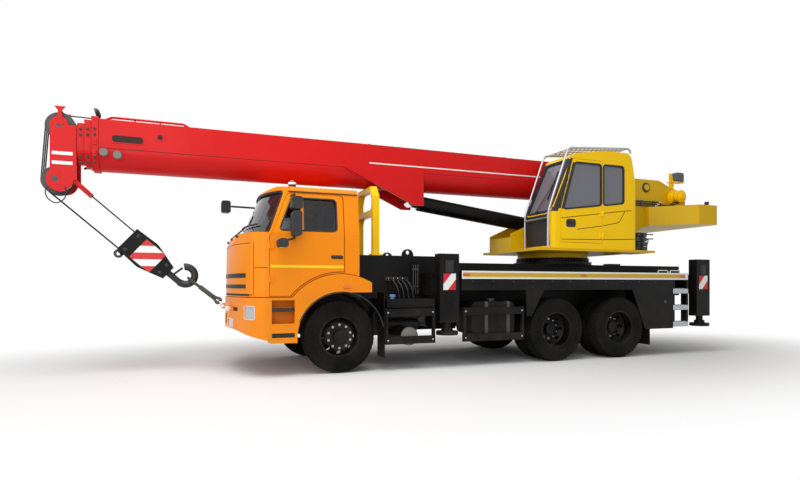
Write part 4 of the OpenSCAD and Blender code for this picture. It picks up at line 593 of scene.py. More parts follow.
@cache
def strand_group():
    """Strands laid round a rope: bands that slant across the rope's own map."""
    group, given, out = node_group("Laid Strands", {"Strands": 6.0, "Turns": 40.0}, ["Height", "Mask"])
    place = parts(group, add(group, "TexCoord").outputs["UV"])
    round_part = maths(group, "MULTIPLY", place["Y"], given["Strands"])
    along_part = maths(group, "MULTIPLY", place["X"], given["Turns"])
    turn = maths(group, "MULTIPLY", maths(group, "ADD", round_part, along_part), 2 * math.pi)
    height = maths(group, "ABSOLUTE", maths(group, "SINE", turn))
    put(group, out["Height"], height)
    put(group, out["Mask"], maths(group, "LESS_THAN", height, 0.35))
    return group


def new_material(name, **sockets):
    """Keep a new finish by its name. Gives its tree and its shader, with the shader's sockets set."""
    material = bpy.data.materials.new(name)
    material.use_nodes = True
    FINISHES[name] = material
    shader = material.node_tree.nodes["Principled BSDF"]
    for key, value in sockets.items():
        shader.inputs[key.replace("_", " ").title().replace("Ior", "IOR")].default_value = value
    return material.node_tree, shader


def bumped(tree, shader, height, strength, distance):
    """Roughen a shader by a height socket."""
    values = {"Strength": strength, "Distance": distance, "Height": height}
    put(tree, shader.inputs["Normal"], add(tree, "Bump", values=values).outputs["Normal"])


def two_tone(tree, shader, mask, first, second):
    """Colour a shader by a mask socket: the first colour at 0, the second at 1."""
    put(tree, shader.inputs["Base Color"], mixed(tree, mask, (*first, 1), (*second, 1)))


def grouped(tree, group, **values):
    """Outputs of a group, given its inputs by name with underlines for spaces."""
    values = {key.replace("_", " ").title(): value for key, value in values.items()}
    return add(tree, "Group", node_tree=group, values=values).outputs


def skinned(tree, shader, skin):
    """Colour and roughness of a shader from a group's outputs."""
    put(tree, shader.inputs["Base Color"], skin["Colour"])
    put(tree, shader.inputs["Roughness"], skin["Roughness"])


def film(name, colour, roughness, dust, tone, peel_scale=90.0, bump=0.05, plate=False, **sockets):
    """A painted or moulded finish from the weathered film group, on a walking plate if asked."""
    tree, shader = new_material(name, **sockets)
    look = {"dust": dust, "tone": tone, "roughness": roughness, "peel_scale": peel_scale}
    skin = grouped(tree, film_group(), colour=(*colour, 1), **look)
    skinned(tree, shader, skin)
    if plate:
        bumped(tree, shader, grouped(tree, tread_plate_group())["Height"], bump, 0.004)
    else:
        bumped(tree, shader, skin["Height"], bump, 0.002)


def metal(name, colour, roughness, scale=30.0, bump=0.1):
    """A bare metal from the drawn metal group."""
    tree, shader = new_material(name, metallic=1.0)
    skin = grouped(tree, brushed_group(), colour=(*colour, 1), roughness=roughness, scale=scale)
    skinned(tree, shader, skin)
    bumped(tree, shader, skin["Height"], bump, 0.001)


def glazing(name, colour, clear=1.0):
    """Tinted safety glass, clear or with a film that dulls it."""
    tree, shader = new_material(name, base_color=(*colour, 1), transmission_weight=clear, ior=1.45)
    smear = laid(tree, "TexNoise", values={"Scale": 3.0, "Detail": 4.0}).outputs["Fac"]
    put(tree, shader.inputs["Roughness"], ranged(tree, smear, 0.0, 1.0, 0.01, 0.06))


def lens(name, colour):
    """A moulded lamp lens: ribs across its face under a clear, glossy skin."""
    tree, shader = new_material(name, roughness=0.12, coat_weight=1.0)
    ribs = laid(tree, "TexWave", bands_direction="Y", values={"Scale": 18.0, "Distortion": 0.0})
    two_tone(tree, shader, ribs.outputs["Fac"], [0.5 * c for c in colour], colour)
    bumped(tree, shader, ribs.outputs["Fac"], 0.3, 0.004)


def banded(name, first, second, bands, slant, shift=0.0):
    """A reflecting plate with slanting bands of two colours."""
    tree, shader = new_material(name, roughness=0.35)
    mask = grouped(tree, bands_group(), bands=bands, slant=slant, shift=shift)["Mask"]
    two_tone(tree, shader, mask, first, second)
    cells = laid(tree, "TexVoronoi", values={"Scale": 220.0})
    bumped(tree, shader, cells.outputs["Distance"], 0.08, 0.001)


def stranded(name, colour, gap_colour, turns_along, strands=6.0, metallic=0.0, roughness=0.5):
    """Wire rope or plaited webbing, with strands from the rope's own map."""
    tree, shader = new_material(name, metallic=metallic, roughness=roughness)
    lay = grouped(tree, strand_group(), strands=strands, turns=turns_along)
    two_tone(tree, shader, lay["Mask"], colour, gap_colour)
    bumped(tree, shader, lay["Height"], 0.6, 0.003)


def woven(name, colour):
    """Seat cloth: two crossed waves for the weave, with a soft sheen."""
    tree, shader = new_material(name, roughness=0.85, sheen_weight=0.3)
    threads = [laid(tree, "TexWave", bands_direction=way, values={"Scale": 60.0}) for way in "XZ"]
    weave = maths(tree, "MULTIPLY", *(thread.outputs["Fac"] for thread in threads))
    two_tone(tree, shader, weave, [0.6 * c for c in colour], colour)
    bumped(tree, shader, weave, 0.3, 0.002)


def make_finishes(colours):
    """Every finish of the crane. A film's numbers are its roughness, dust and tone."""
    gloss = {"coat_weight": 0.08, "coat_roughness": 0.1, "specular_ior_level": 0.18}
    matt = {"specular_ior_level": 0.16}
    signal_red, signal_white = linear(204, 24, 28), linear(240, 240, 238)
    film("cab_orange", colours.cab, 0.4, 0.25, 0.08, **gloss)
    film("boom_red", colours.boom, 0.4, 0.1, 0.1, **gloss)
    film("crane_yellow", colours.crane, 0.4, 0.05, 0.08, **gloss)
    # Crane yellow cut to 72 % for the turntable and counterweight: painted shade, darker than the
    # operator's cab
    film("painted_shade_yellow", [0.72 * c for c in colours.crane], 0.45, 0.1, 0.15, **gloss)
    film("chassis_black", colours.chassis, 0.42, 0.35, 0.3, **matt)
    film("machinery", linear(62, 62, 64), 0.5, 0.5, 0.4, metallic=0.3)
    film("deck_plate", colours.chassis, 0.45, 0.3, 0.3, bump=0.8, plate=True, **matt)
    film("plastic_black", linear(26, 27, 29), 0.5, 0.3, 0.2, 400, 0.2)
    film("plastic_grey", linear(84, 86, 90), 0.55, 0.1, 0.2, 400, 0.2)
    film("rubber", linear(12, 12, 12), 0.8, 0.2, 0.3, 250, 0.25, specular_ior_level=0.12)
    film("rubber_trim", linear(16, 16, 17), 0.6, 0.2, 0.2, 300, 0.15)
    film("sheave_grey", linear(70, 70, 72), 0.5, 0.2, 0.3, metallic=0.2)
    film("hook_iron", linear(24, 24, 26), 0.42, 0.2, 0.4, 140, 0.3)
    film("receiver_grey", linear(112, 110, 102), 0.45, 0.3, 0.2)
    film("line_white", linear(238, 238, 236), 0.35, 0.2, 0.05)
    film("line_gold", colours.stripe, 0.35, 0.15, 0.1)
    film("line_yellow", linear(252, 208, 8), 0.35, 0.1, 0.05)
    film("seam_shadow", linear(40, 20, 6), 0.8, 0.0, 0.2)
    film("cap_blue", linear(96, 130, 176), 0.4, 0.2, 0.1)
    metal("steel", linear(190, 190, 192), 0.25)
    metal("chrome", linear(222, 222, 224), 0.08, bump=0.02)
    metal("aluminium", linear(172, 175, 182), 0.34, scale=60)
    metal("mirror_glass", linear(190, 196, 204), 0.03, bump=0.0)
    glazing("glass", (0.30, 0.33, 0.35))
    glazing("glass_dark", (0.14, 0.15, 0.165), 0.9)
    glazing("glass_light", (0.26, 0.27, 0.31), 0.45)
    lens("lens_clear", linear(196, 198, 204))
    lens("lens_amber", linear(236, 116, 10))
    lens("lens_red", linear(188, 22, 16))
    banded("hazard", signal_red, signal_white, 0.714, 1.0, 0.036)
    banded("hook_bands", signal_red, signal_white, 2.5, 0.0)
    stranded("wire_rope", linear(46, 46, 50), linear(12, 12, 12), 28, metallic=0.6)
    stranded("sling_web", linear(70, 72, 62), linear(30, 30, 26), 24, 4.0, roughness=0.8)
    film("hose", linear(18, 18, 20), 0.45, 0.2, 0.2, 500, 0.2)
    woven("seat_cloth", linear(66, 68, 76))


SIDES = {"left": 1, "right": -1}
CORNERS = [f"{end}_{side}" for end in ("front", "rear") for side in SIDES]
WHEELS = {
    f"wheel_{axle}_{side}": (f"tyre{many}_{axle}_{side}", f"rim{many}_{axle}_{side}", out)
    for axle, many in (("front", ""), ("mid", "s"), ("rear", "s"))
    for side, out in SIDES.items()
}
NODE_FINISHES = {
    "cab_orange": ["cab_shell", "bumper", "front_arches", "door_left", "door_right"],
    "boom_red": ["boom_base", "boom_section_2", "boom_section_3", "boom_tip"],
    "painted_shade_yellow": ["turntable", "counterweight"],
    # The turntable and counterweight take the darker yellow of painted shade
    "crane_yellow": ["upper_cab", "upper_cab_door", "boom_rest", "winch"],
    "chassis_black": ["chassis_frame", "crane_base", "axles_and_springs", "side_tanks"],
    "deck_plate": ["deck_panels"],
    "machinery": ["engine"],
    "plastic_black": ["cab_fittings", "mirrors_left", "mirrors_right", "upper_cab_interior"],
    "plastic_grey": ["cab_interior"],
    "glass": ["door_left_glass", "door_right_glass"],
    "glass_dark": ["cab_glass"],
    "glass_light": ["upper_cab_glass", "upper_door_glass"],
    "lens_clear": ["lamps"],
    "aluminium": ["cab_rails"],
    "chrome": ["cylinder_rod"],
    "sheave_grey": ["head_sheaves"],
    "hook_iron": ["hook"],
}
NODE_FINISHES["chassis_black"] += ["knuckle_left", "knuckle_right", "cylinder_barrel", "hook_block"]
NODE_FINISHES["chassis_black"] += [f"{kind}_{corner}" for kind in ("beam", "jack") for corner in CORNERS]
NODE_FINISHES["chassis_black"] += [rim for _, rim, _ in WHEELS.values()]


# Settings


def colour_setting(name, description, colour):
    """A colour that a user may change."""
    return FloatVectorProperty(name=name, description=description, subtype="COLOR", default=colour)


def length_setting(name, description, default):
    """A length that a user may change."""
    return FloatProperty(name=name, description=description, unit="LENGTH", default=default)


def power_setting(name, description, default):
    """A lamp's power that a user may change."""
    return FloatProperty(name=name, description=description, unit="POWER", default=default)


class CraneColours(bpy.types.PropertyGroup):
    """Paint colours of the crane."""

    cab: colour_setting("Cab", "Driver's cab and bumper paint", linear(244, 140, 6))
    boom: colour_setting("Boom", "Boom paint", linear(205, 18, 18))
    crane: colour_setting("Crane", "Operator's cab and turntable paint", linear(255, 205, 0))
    chassis: colour_setting("Chassis", "Chassis and deck paint", linear(8, 7, 8))
    stripe: colour_setting("Stripe", "Middle of the deck stripe", linear(204, 164, 34))


class CraneSizes(bpy.types.PropertyGroup):
    """Sizes of what is laid over the frame."""

    tread_depth: length_setting("Tread Depth", "Depth of the tyre grooves", 0.014)
    tread_pitches: IntProperty(name="Tread Pitches", description="Blocks round a tyre", default=46)
    tread_half: length_setting("Tread Half", "Half the tread's width", 0.122)
    tyre_width: length_setting("Tyre Width", "Width of one tyre", 0.28)
    rim_radius: length_setting("Rim Radius", "Radius of the tyre's bead", 0.288)
    stud_count: IntProperty(name="Studs", description="Wheel studs on each wheel", default=10)
    stud_circle: length_setting("Stud Circle", "Radius of the studs", 0.168)
    rope: length_setting("Rope", "Hoist rope diameter", 0.018)


class CraneStage(bpy.types.PropertyGroup):
    """Camera and studio."""

    lens: FloatProperty(name="Lens", description="Focal length on a 36 mm sensor", default=25.07)
    rise: FloatProperty(name="Rise", description="Upward shift by the picture's width", default=0.0567)
    heading: FloatProperty(
        name="Heading", description="Camera heading", subtype="ANGLE", default=math.radians(158.7)
    )
    floor: colour_setting("Floor", "Floor colour", (0.86, 0.86, 0.86))
    key: power_setting("Key", "Power of the large lamp overhead", 650.0)
    fill: power_setting("Fill", "Power of the lamp beside the camera", 260.0)
    sky: FloatProperty(name="Sky", description="Strength of the studio's even light", default=0.42)


# Pieces


class CRANE_OT_finishes(bpy.types.Operator):
    """Give every node of the frame its finish"""

    bl_idname = "crane.add_finishes"
    bl_label = "Finishes"

    def execute(self, context):
        make_finishes(context.scene.crane_colours)
        for finish, names in NODE_FINISHES.items():
            for name in names:
                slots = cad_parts[name].data.materials
                slots.clear()
                slots.append(FINISHES[finish])
        return {"FINISHED"}


TYRE_BEAD_HALF = 0.112
CROWN_DROP = 0.010
GROOVES_Y = (0.030, 0.072)
GROOVE, GROOVE_WALL = 0.012, 0.004
SHOULDER_ROWS = 5
MIDDLE_RIB_HALF, MIDDLE_RIB_SLOPE = 0.022, 0.008
CUT_END_Y, CUT_END_SLOPE = 0.137, 0.01
ZIGZAG, ZIGZAG_HALF = 0.006, 0.1
BLOCK_STEPS = (0.0, 0.07, 0.66, 0.73)
SIDEWALL_RIB = np.array([(-0.004, -0.006), (0.002, -0.004), (0.002, 0.004), (-0.004, 0.006)])


def tyre(centre, outward_y, outer_r, sizes):
    """One tyre: a section carried round the axle, with blocks cut by zigzag grooves into its crown.

    Rows run over the section from bead to bead. Columns run round in fours, floor to block and back,
    and the angle leans with the distance from the middle, so that the cross grooves form chevrons.
    """
    half, tread, bead = sizes.tyre_width / 2, sizes.tread_half, sizes.rim_radius
    edge = GROOVE / 2
    steps = np.array([-edge, GROOVE_WALL - edge, edge - GROOVE_WALL, edge])
    crown = np.sort(np.concatenate([[0, tread], *(place + steps for place in GROOVES_Y)]))
    crown = np.concatenate([-crown[:0:-1], crown])
    in_groove = np.min(np.abs(np.abs(crown)[:, None] - GROOVES_Y), axis=1) < edge - GROOVE_WALL / 2
    crown_r = outer_r - CROWN_DROP * (crown / tread) ** 2 - sizes.tread_depth * in_groove
    t = np.linspace(0, 1, 14)[1:]
    bulge = (half - tread) * (1 - t) ** 2.2 * 0.9
    tuck = (half - TYRE_BEAD_HALF) * np.clip((t - 0.55) / 0.45, 0, 1) ** 2
    side_y = half - bulge - tuck
    shoulder_r = outer_r - CROWN_DROP
    side_r = shoulder_r - (shoulder_r - bead) * t**1.15
    inner = np.linspace(1, -1, 7)[1:-1]
    y = np.concatenate([-side_y[::-1], crown, side_y, TYRE_BEAD_HALF * inner])
    r = np.concatenate([side_r[::-1], crown_r, side_r, np.full(len(inner), bead - 0.004)])
    treaded = np.zeros(len(y))
    treaded[len(t) - SHOULDER_ROWS : len(t) + len(crown) + SHOULDER_ROWS] = 1
    pitch = 2 * np.pi / sizes.tread_pitches
    columns = np.arange(sizes.tread_pitches)[:, None] + BLOCK_STEPS
    on_floor = np.tile([1.0, 0.0, 0.0, 1.0], sizes.tread_pitches)[:, None]
    angle = columns.reshape(-1, 1) * pitch
    out = np.abs(y)
    past_middle = np.clip((out - MIDDLE_RIB_HALF) / MIDDLE_RIB_SLOPE, 0, 1)
    before_end = np.clip((CUT_END_Y - out) / CUT_END_SLOPE, 0, 1)
    cut = treaded * past_middle * before_end
    lean = pitch * (out / tread * 0.9 + 0.5 * (y > 0)) * (out <= half)
    radius = r - on_floor * cut * (sizes.tread_depth - 0.004)
    wave = ZIGZAG * np.cos(angle / pitch * 2 * np.pi) * (out < ZIGZAG_HALF) * treaded
    turn = angle + lean
    rings = np.stack([radius * np.cos(turn), y + wave, radius * np.sin(turn)], -1)
    return looped(rings * (1, outward_y, 1)).moved(centre)


def sidewall_ribs(centre, outward_y, half):
    """Raised rings on a tyre's sidewall."""
    rings = []
    for radius, out in ((0.405, half - 0.0015), (0.318, half - 0.016)):
        foot = centre + (0, outward_y * out, 0)
        rings.append(ring_of(SIDEWALL_RIB + (0, radius), foot, (0, outward_y, 0), 96))
    return join(rings)


class CRANE_OT_tyres(bpy.types.Operator):
    """Put treaded tyres in place of the plain ones"""

    bl_idname = "crane.add_tyres"
    bl_label = "Tyres"

    def execute(self, context):
        sizes = context.scene.crane_sizes
        half = sizes.tyre_width / 2
        for body, (tyre_node, _, side) in WHEELS.items():
            low, high = box(tyre_node)
            centre = (low + high) / 2
            ends = sorted({round(low[1] + half, 4), round(high[1] - half, 4)})
            outer_r = high[2] - centre[2]
            forms = []
            for y in ends:
                place = np.array([centre[0], y, centre[2]])
                forms.append(tyre(place, side, outer_r, sizes))
                forms += [sidewall_ribs(place, way, half) for way in (side, -side)]
            piece(f"{body}_tyres", body, "rubber", join(forms), [tyre_node], sharp=28)
        return {"FINISHED"}


class CRANE_OT_wheel_studs(bpy.types.Operator):
    """Add studs and their nuts to the wheel discs"""

    bl_idname = "crane.add_wheel_studs"
    bl_label = "Wheel Studs"

    def execute(self, context):
        sizes = context.scene.crane_sizes
        angles = (np.arange(sizes.stud_count) + 0.5) * 360 / sizes.stud_count
        for body, (tyre_node, rim_node, side) in WHEELS.items():
            centre = middle(tyre_node)
            axis = np.array([0, side, 0])
            start = centre + (sizes.stud_circle, side * 0.6, 0)
            face = draped(rim_node, start, -axis)[0][0]
            nut = bolt_head(0.012, 0.020, face, axis) + rod(face, face + 0.028 * axis, 0.008, 10)
            piece(f"{body}_nuts", body, "steel", nut.spun(centre, axis, angles))
        return {"FINISHED"}


# Driver's cab

SCREEN_CORNERS = [(-1.07, 1.99), (1.07, 1.99), (0.975, 2.59), (0, 2.63), (-0.975, 2.59)]
PANE_FOOT_Z, PANE_TOP_Z = 2.02, 2.48
PANE_CORNERS = [(0.06, PANE_FOOT_Z), (0.87, PANE_FOOT_Z), (0.69, PANE_TOP_Z), (0.06, PANE_TOP_Z)]
BACK_CORNERS = [(-0.60, 2.06), (0.60, 2.06), (0.60, 2.46), (-0.60, 2.46)]
BACK_X = box("cab_shell")[0][0]
WINDOW_ROUND = 0.06
QUARTER_BAR_X = 0.549
WIPER_FEET_Y, WIPER_FOOT_Z = (-0.66, 0.02, 0.70), 1.955
WIPER_HOLD_Z, WIPER_HALF = 2.14, 0.30
MIRROR_YS = (1.318, 1.467)
SEAL = rectangle(-0.011, 0.011, -0.012, 0.006, 0.005, 2)
SCREEN_SEAL = rectangle(-0.02, 0.02, -0.014, 0.007, 0.006, 2)
SCREEN_LEAN = (math.cos(SCREEN_RAKE), 0, math.sin(SCREEN_RAKE))
DOOR_LEAN = (0, 1, SIDE_TAPER)


def door_pieces(name, finish, form):
    """A form of the left door, and its mirror image on the right one."""
    for side, out in SIDES.items():
        body = f"driver_door_{side}"
        piece(f"{body}_{name}", body, finish, form.on_side(out))


class CRANE_OT_cab_glazing(bpy.types.Operator):
    """Add the window seals, the quarter light bars, the wipers and the mirror faces"""

    bl_idname = "crane.add_cab_glazing"
    bl_label = "Cab Glazing"

    def execute(self, context):
        y, z = resampled(rounded_outline(SCREEN_CORNERS, WINDOW_ROUND), 140).T
        screen = coords(screen_x(y, z), y, z)
        y, z = resampled(rounded_outline(BACK_CORNERS, WINDOW_ROUND), 80).T
        back = coords(BACK_X, y, z)
        seals = swept(screen, SCREEN_SEAL, SCREEN_LEAN, True) + swept(back, SCREEN_SEAL, (-1, 0, 0), True)
        piece("screen_seals", "chassis", "rubber_trim", seals)
        x, z = resampled(rounded_outline(PANE_CORNERS, WINDOW_ROUND), 100).T
        seal = swept(coords(x, cab_side_y(z), z), SEAL, DOOR_LEAN, True)
        door_pieces("seal", "rubber_trim", seal)
        z = np.linspace(PANE_FOOT_Z, PANE_TOP_Z, 6)
        bar = strip(coords(QUARTER_BAR_X, cab_side_y(z), z), 0.018, 0.004, DOOR_LEAN, 0.02)
        door_pieces("window_bar", "cab_orange", bar)
        self.wipers()
        self.mirror_faces()
        return {"FINISHED"}

    def wipers(self):
        """Three arms from pivots on the cowl, each with a bowed blade that lies on the glass."""
        forms = []
        for foot_y in WIPER_FEET_Y:
            pivot, out = (v[0] for v in on_nose("cab_shell", [foot_y], WIPER_FOOT_Z))
            hold_y, hold_z = foot_y - WIPER_HALF, WIPER_HOLD_Z
            hold = np.array([screen_x(hold_y, hold_z) + 0.02, hold_y, hold_z])
            forms.append(revolved([(-0.02, 0.022), (0.02, 0.020), (0.03, 0.010)], pivot, out, 12))
            forms.append(tube(np.linspace(pivot + 0.025 * out, hold, 8), 0.007, 8))
            y = hold_y + np.linspace(-WIPER_HALF, WIPER_HALF, 16)
            blade = coords(screen_x(y, hold_z) + 0.012, y, hold_z)
            forms.append(swept(blade, rectangle(-0.008, 0.008, -0.014, 0.010, 0.004, 2), SCREEN_LEAN))
        piece("wipers", "chassis", "plastic_black", join(forms))

    def mirror_faces(self):
        """Silvered faces set in the mirror housings."""
        upper = slab(rectangle(*MIRROR_YS, 2.302, 2.438, 0.03), 0.597, 0.602, "yz", 0.002)
        lower = slab(rectangle(*MIRROR_YS, 1.942, 2.248, 0.03), 0.607, 0.612, "yz", 0.002)
        kerb = slab(rectangle(0.81, 0.905, *MIRROR_YS, 0.02), 1.762, 1.767, "xy", 0.002)
        door_pieces("mirror_faces", "mirror_glass", upper + lower + kerb)
        front = slab(rectangle(-1.135, -0.985, 2.515, 2.685, 0.025), 1.337, 1.342, "yz", 0.002)
        piece("front_mirror_face", "chassis", "mirror_glass", front)


NOSE_CORNER = (1.019, 0.965)
COWL_Z = 1.84
GRILLE_SLOTS = ((1.397, 0.032), (1.245, 0.028))
STEP_X, STEP_Y, STEP_ZS = (0.668, 0.975), (1.075, 1.232), (0.905, 0.557)
TOOTH_PITCH = 0.0355
LAMP_OPENINGS = ((0.98, 1.175, 0.80, 0.97), (0.27, 0.56, 0.665, 0.77))
LAMP_RIM = 0.006
CORNER_SEAM_Y = 1.13
CORNER_FOOT_Z, FOOT_SEAM_Z = 1.12, 1.128
SEAM_HALF, FOOT_SEAM_HALF, SEAM_RISE = 0.004, 0.014, 0.0012
GUTTER_X, GUTTER_Z = (0.745, -0.25), 2.566
HANDLE_Z = 1.66
ARCH_LIP_R, ARCH_LINER_R = 0.64, 0.627
TOW_EYE = np.array([1.503, 0.55, 0.93])
BOW_LEAN = unit((0.745, 0, 0.667))
BOW_REACH = 0.165


class CRANE_OT_cab_trim(bpy.types.Operator):
    """Add the grille, panel seams, gutter rails darkened with painted shadow, door handles, steps, arch
    lips and bumper fittings
    """

    bl_idname = "crane.add_cab_trim"
    bl_label = "Cab Trim"

    def execute(self, context):
        self.grille()
        self.seams()
        self.doors()
        self.steps()
        self.arch_lips()
        self.bumper_rims()
        self.shackle()
        return {"FINISHED"}

    def grille(self):
        """Two slots on each side of the middle, with ribs along them, bowed as the front panel is."""
        forms = []
        for z, half in GRILLE_SLOTS:
            path, out = on_nose("cab_shell", np.linspace(0.05, 0.96, 24), z)
            forms.append(strip(path, half, 0.003, out))
            ribs = path + 0.004 * out
            forms += [strip(ribs + (0, 0, rise * half), 0.005, 0.006, out) for rise in (-0.4, 0.4)]
        piece("grille", "chassis", "plastic_black", join(forms).both_sides())

    def seams(self):
        """Dark gaps under the cowl and round the corner panels, and a gutter rail over each door whose
        near-black colour is painted shadow under the eave.
        """
        cowl = on_nose("cab_shell", np.linspace(-CORNER_SEAM_Y, CORNER_SEAM_Y, 40), COWL_Z)
        upright = on_nose("cab_shell", np.full(14, CORNER_SEAM_Y), np.linspace(CORNER_FOOT_Z, COWL_Z, 14))
        turn = np.radians(np.linspace(42, 88, 10))
        ring = coords(np.cos(turn), np.sin(turn), 0)
        corner = draped("cab_shell", (*NOSE_CORNER, 1.5) + ring, -ring)
        foot = on_nose("cab_shell", np.linspace(-1.1, 1.1, 40), FOOT_SEAM_Z)
        lines = ((cowl, SEAM_HALF), (foot, FOOT_SEAM_HALF), (upright, SEAM_HALF), (corner, SEAM_HALF))
        across, below, *sides = (strip(line[0], half, SEAM_RISE, line[1]) for line, half in lines)
        seams = across + below + join(sides).both_sides()
        piece("front_seams", "chassis", "seam_shadow", seams)
        # A raised gutter rail in near-black trim, so that it also paints the shadow line under the eave
        gutter = coords(np.linspace(*GUTTER_X, 20), cab_side_y(GUTTER_Z), GUTTER_Z)
        gutters_and_shadow = strip(gutter, 0.007, 0.014, DOOR_LEAN).both_sides()
        piece("gutters_and_shadow", "chassis", "rubber_trim", gutters_and_shadow)

    def doors(self):
        """A handle with a lock, and a stripe, on each door."""
        y, z = CAB_SIDE_Y, HANDLE_Z
        well = slab(rectangle(-0.03, 0.15, z - 0.025, z + 0.025, 0.024, 4), y - 0.002, y + 0.0025)
        grip = rod((0.12, y + 0.013, z), (-0.005, y + 0.013, z), 0.011)
        post = rod((0.115, y - 0.001, z), (0.115, y + 0.015, z), 0.009)
        lock = revolved([(0, 0.019), (0.008, 0.018), (0.010, 0.012)], (-0.005, y + 0.002, z), LEFT, 20)
        door_pieces("handle", "plastic_black", well + grip + post + lock)
        stripe = slab(rectangle(-0.035, 0.99, 1.502, 1.540), y - 0.002, y + 0.0015, edge=0.001)
        door_pieces("stripe", "line_yellow", stripe)

    def steps(self):
        """Toothed treads across the two step recesses."""
        forms = []
        for z in STEP_ZS:
            tread = slab(rectangle(*STEP_X, *STEP_Y, 0.006, 1), z, z + 0.036, "xy")
            tooth = block((0.675, 1.226, z - 0.010), (0.690, 1.239, z + 0.045), 0.003)
            forms.append(tread + tooth.repeated([(TOOTH_PITCH * k, 0, 0) for k in range(9)]))
        piece("step_treads", "chassis", "plastic_black", join(forms).both_sides())

    def arch_lips(self):
        """A rubber lip round each front wheel arch, and a dark liner over the wheel within it."""
        turn = np.radians(np.linspace(20, 172, 40))
        path = coords(ARCH_LIP_R * np.cos(turn), 1.240, WHEEL_Z + ARCH_LIP_R * np.sin(turn))
        lip = tube(path[path[:, 2] > 0.62], 0.010, 8).both_sides()
        piece("arch_lips", "chassis", "rubber_trim", lip)
        turn = np.radians(np.linspace(45, 145, 20))
        out = ARCH_LINER_R * coords(np.cos(turn), 0, np.sin(turn))
        liner = swept(out + (0, 0.72, WHEEL_Z), rectangle(-0.215, 0.215, -0.002, 0.002), out)
        liner = liner + slab(rectangle(-0.5, 0.5, 0.93, 1.14, 0.03), 0.507, 0.517)
        piece("arch_liners", "chassis", "rubber_trim", liner.both_sides())

    def bumper_rims(self):
        """Rims round the headlamps and fog lamps, and dark pockets beside the tow eyes."""
        forms = []
        r = LAMP_RIM
        for y0, y1, z0, z1 in LAMP_OPENINGS:
            y, z = resampled(rectangle(y0 - r, y1 + r, z0 - r, z1 + r, 0.02), 60).T
            path, out = on_nose("bumper", y, z)
            forms.append(swept(path, rectangle(-r, r, -r, r, 0.002, 1), out, True))
        piece("lamp_rims", "chassis", "chrome", join(forms).both_sides())
        pockets = [on_nose("bumper", np.linspace(*ys, 8), 0.925) for ys in ((0.37, 0.50), (0.60, 0.76))]
        form = join(strip(path, 0.026, 0.002, out) for path, out in pockets).both_sides()
        piece("tow_pockets", "chassis", "seam_shadow", form)

    def shackle(self):
        """A bow on a pin through the left tow eye, leaning towards the sling."""
        leg = np.array([(-0.045, 0), (-0.052, 0.07), (-0.044, 0.13)])
        bow = np.vstack([leg, (0, BOW_REACH), leg[::-1] * (-1, 1)])
        path = TOW_EYE + bow[:, :1] * LEFT + bow[:, 1:] * BOW_LEAN
        pin = rod(TOW_EYE - (0, 0.075, 0), TOW_EYE + (0, 0.065, 0), 0.016)
        head = bolt_head(0.026, 0.02, TOW_EYE + (0, 0.055, 0), LEFT)
        form = tube(curved(path, 40), 0.013, 12) + pin + head
        piece("tow_shackle", "chassis", "chrome", form)


ROOF_MARKER_X, ROOF_MARKERS_Y = 0.64, (-0.9, 0.9)
SIDE_MARKERS_X = (-1.98, -4.21, -6.45)
TAIL_LAMP_Y, TAIL_LAMP_Z = 0.72, 1.2


class CRANE_OT_lamps(bpy.types.Operator):
    """Add the roof markers, the side markers and the tail lamps"""

    bl_idname = "crane.add_lamps"
    bl_label = "Lamps"

    def execute(self, context):
        dome = [(0, 0.058), (0.03, 0.057), (0.046, 0.046), (0.055, 0.026), (0.058, 0.006)]
        stubs = [on_top("cab_fittings", ROOF_MARKER_X, y) - (0, 0, 0.045) for y in ROOF_MARKERS_Y]
        piece("roof_markers", "chassis", "line_white", join(revolved(dome, p, UP) for p in stubs))
        arch = slab(rectangle(-0.13, -0.02, 1.218, 1.256, 0.01, 3), 1.243, 1.262)
        stripe = slab(rectangle(-0.06, 0.06, 1.408, 1.446, 0.012, 3), DECK_SIDE_Y, DECK_SIDE_Y + 0.014)
        stripe = stripe.repeated([(x, 0, 0) for x in SIDE_MARKERS_X])
        piece("side_markers", "chassis", "lens_amber", (arch + stripe).both_sides())
        back = draped("crane_base", (-12, TAIL_LAMP_Y, TAIL_LAMP_Z), (1, 0, 0))[0][0]
        tail = block(back + (-0.035, -0.16, -0.05), back + (0.002, 0.16, 0.05), 0.008)
        piece("tail_lamps", "chassis", "lens_red", tail.both_sides())
        return {"FINISHED"}


SEAT_MIDDLE_Y = 0.62
BACK_FOOT_X, BACK_FOOT_Z = 0.008, 1.72
BACK_HEIGHT, BACK_DEPTH, BACK_LEAN = 0.68, 0.2, 0.055
SEAT_PLACES = {"chassis": [(0, 0, 0), (0, -1.24, 0)], "superstructure": [(-5.03, 0.18, 0.6506)]}


class CRANE_OT_seats(bpy.types.Operator):
    """Cover the seats with padded cushions"""

    bl_idname = "crane.add_seats"
    bl_label = "Seats"

    def execute(self, context):
        seat = cushion(0.29, 0.265, 0.25, 0.03).moved((0.292, SEAT_MIDDLE_Y, 1.488))
        back = cushion(0.355, 0.265, BACK_DEPTH, 0.02).turned(np.zeros(3), LEFT, 90)
        back = back.moved((BACK_FOOT_X, SEAT_MIDDLE_Y, 2.065))
        rise = np.clip((back.points[:, 2] - BACK_FOOT_Z) / BACK_HEIGHT, 0, 1)
        back.points[:, 0] -= BACK_LEAN * rise * (back.points[:, 0] - BACK_FOOT_X) / BACK_DEPTH
        for body, places in SEAT_PLACES.items():
            for number, place in enumerate(places):
                for part, form in (("cushion", seat), ("back", back)):
                    name = f"{body}_seat_{part}_{number}"
                    made = piece(name, body, "seat_cloth", form.moved(place), sharp=60)
        return {"FINISHED"}


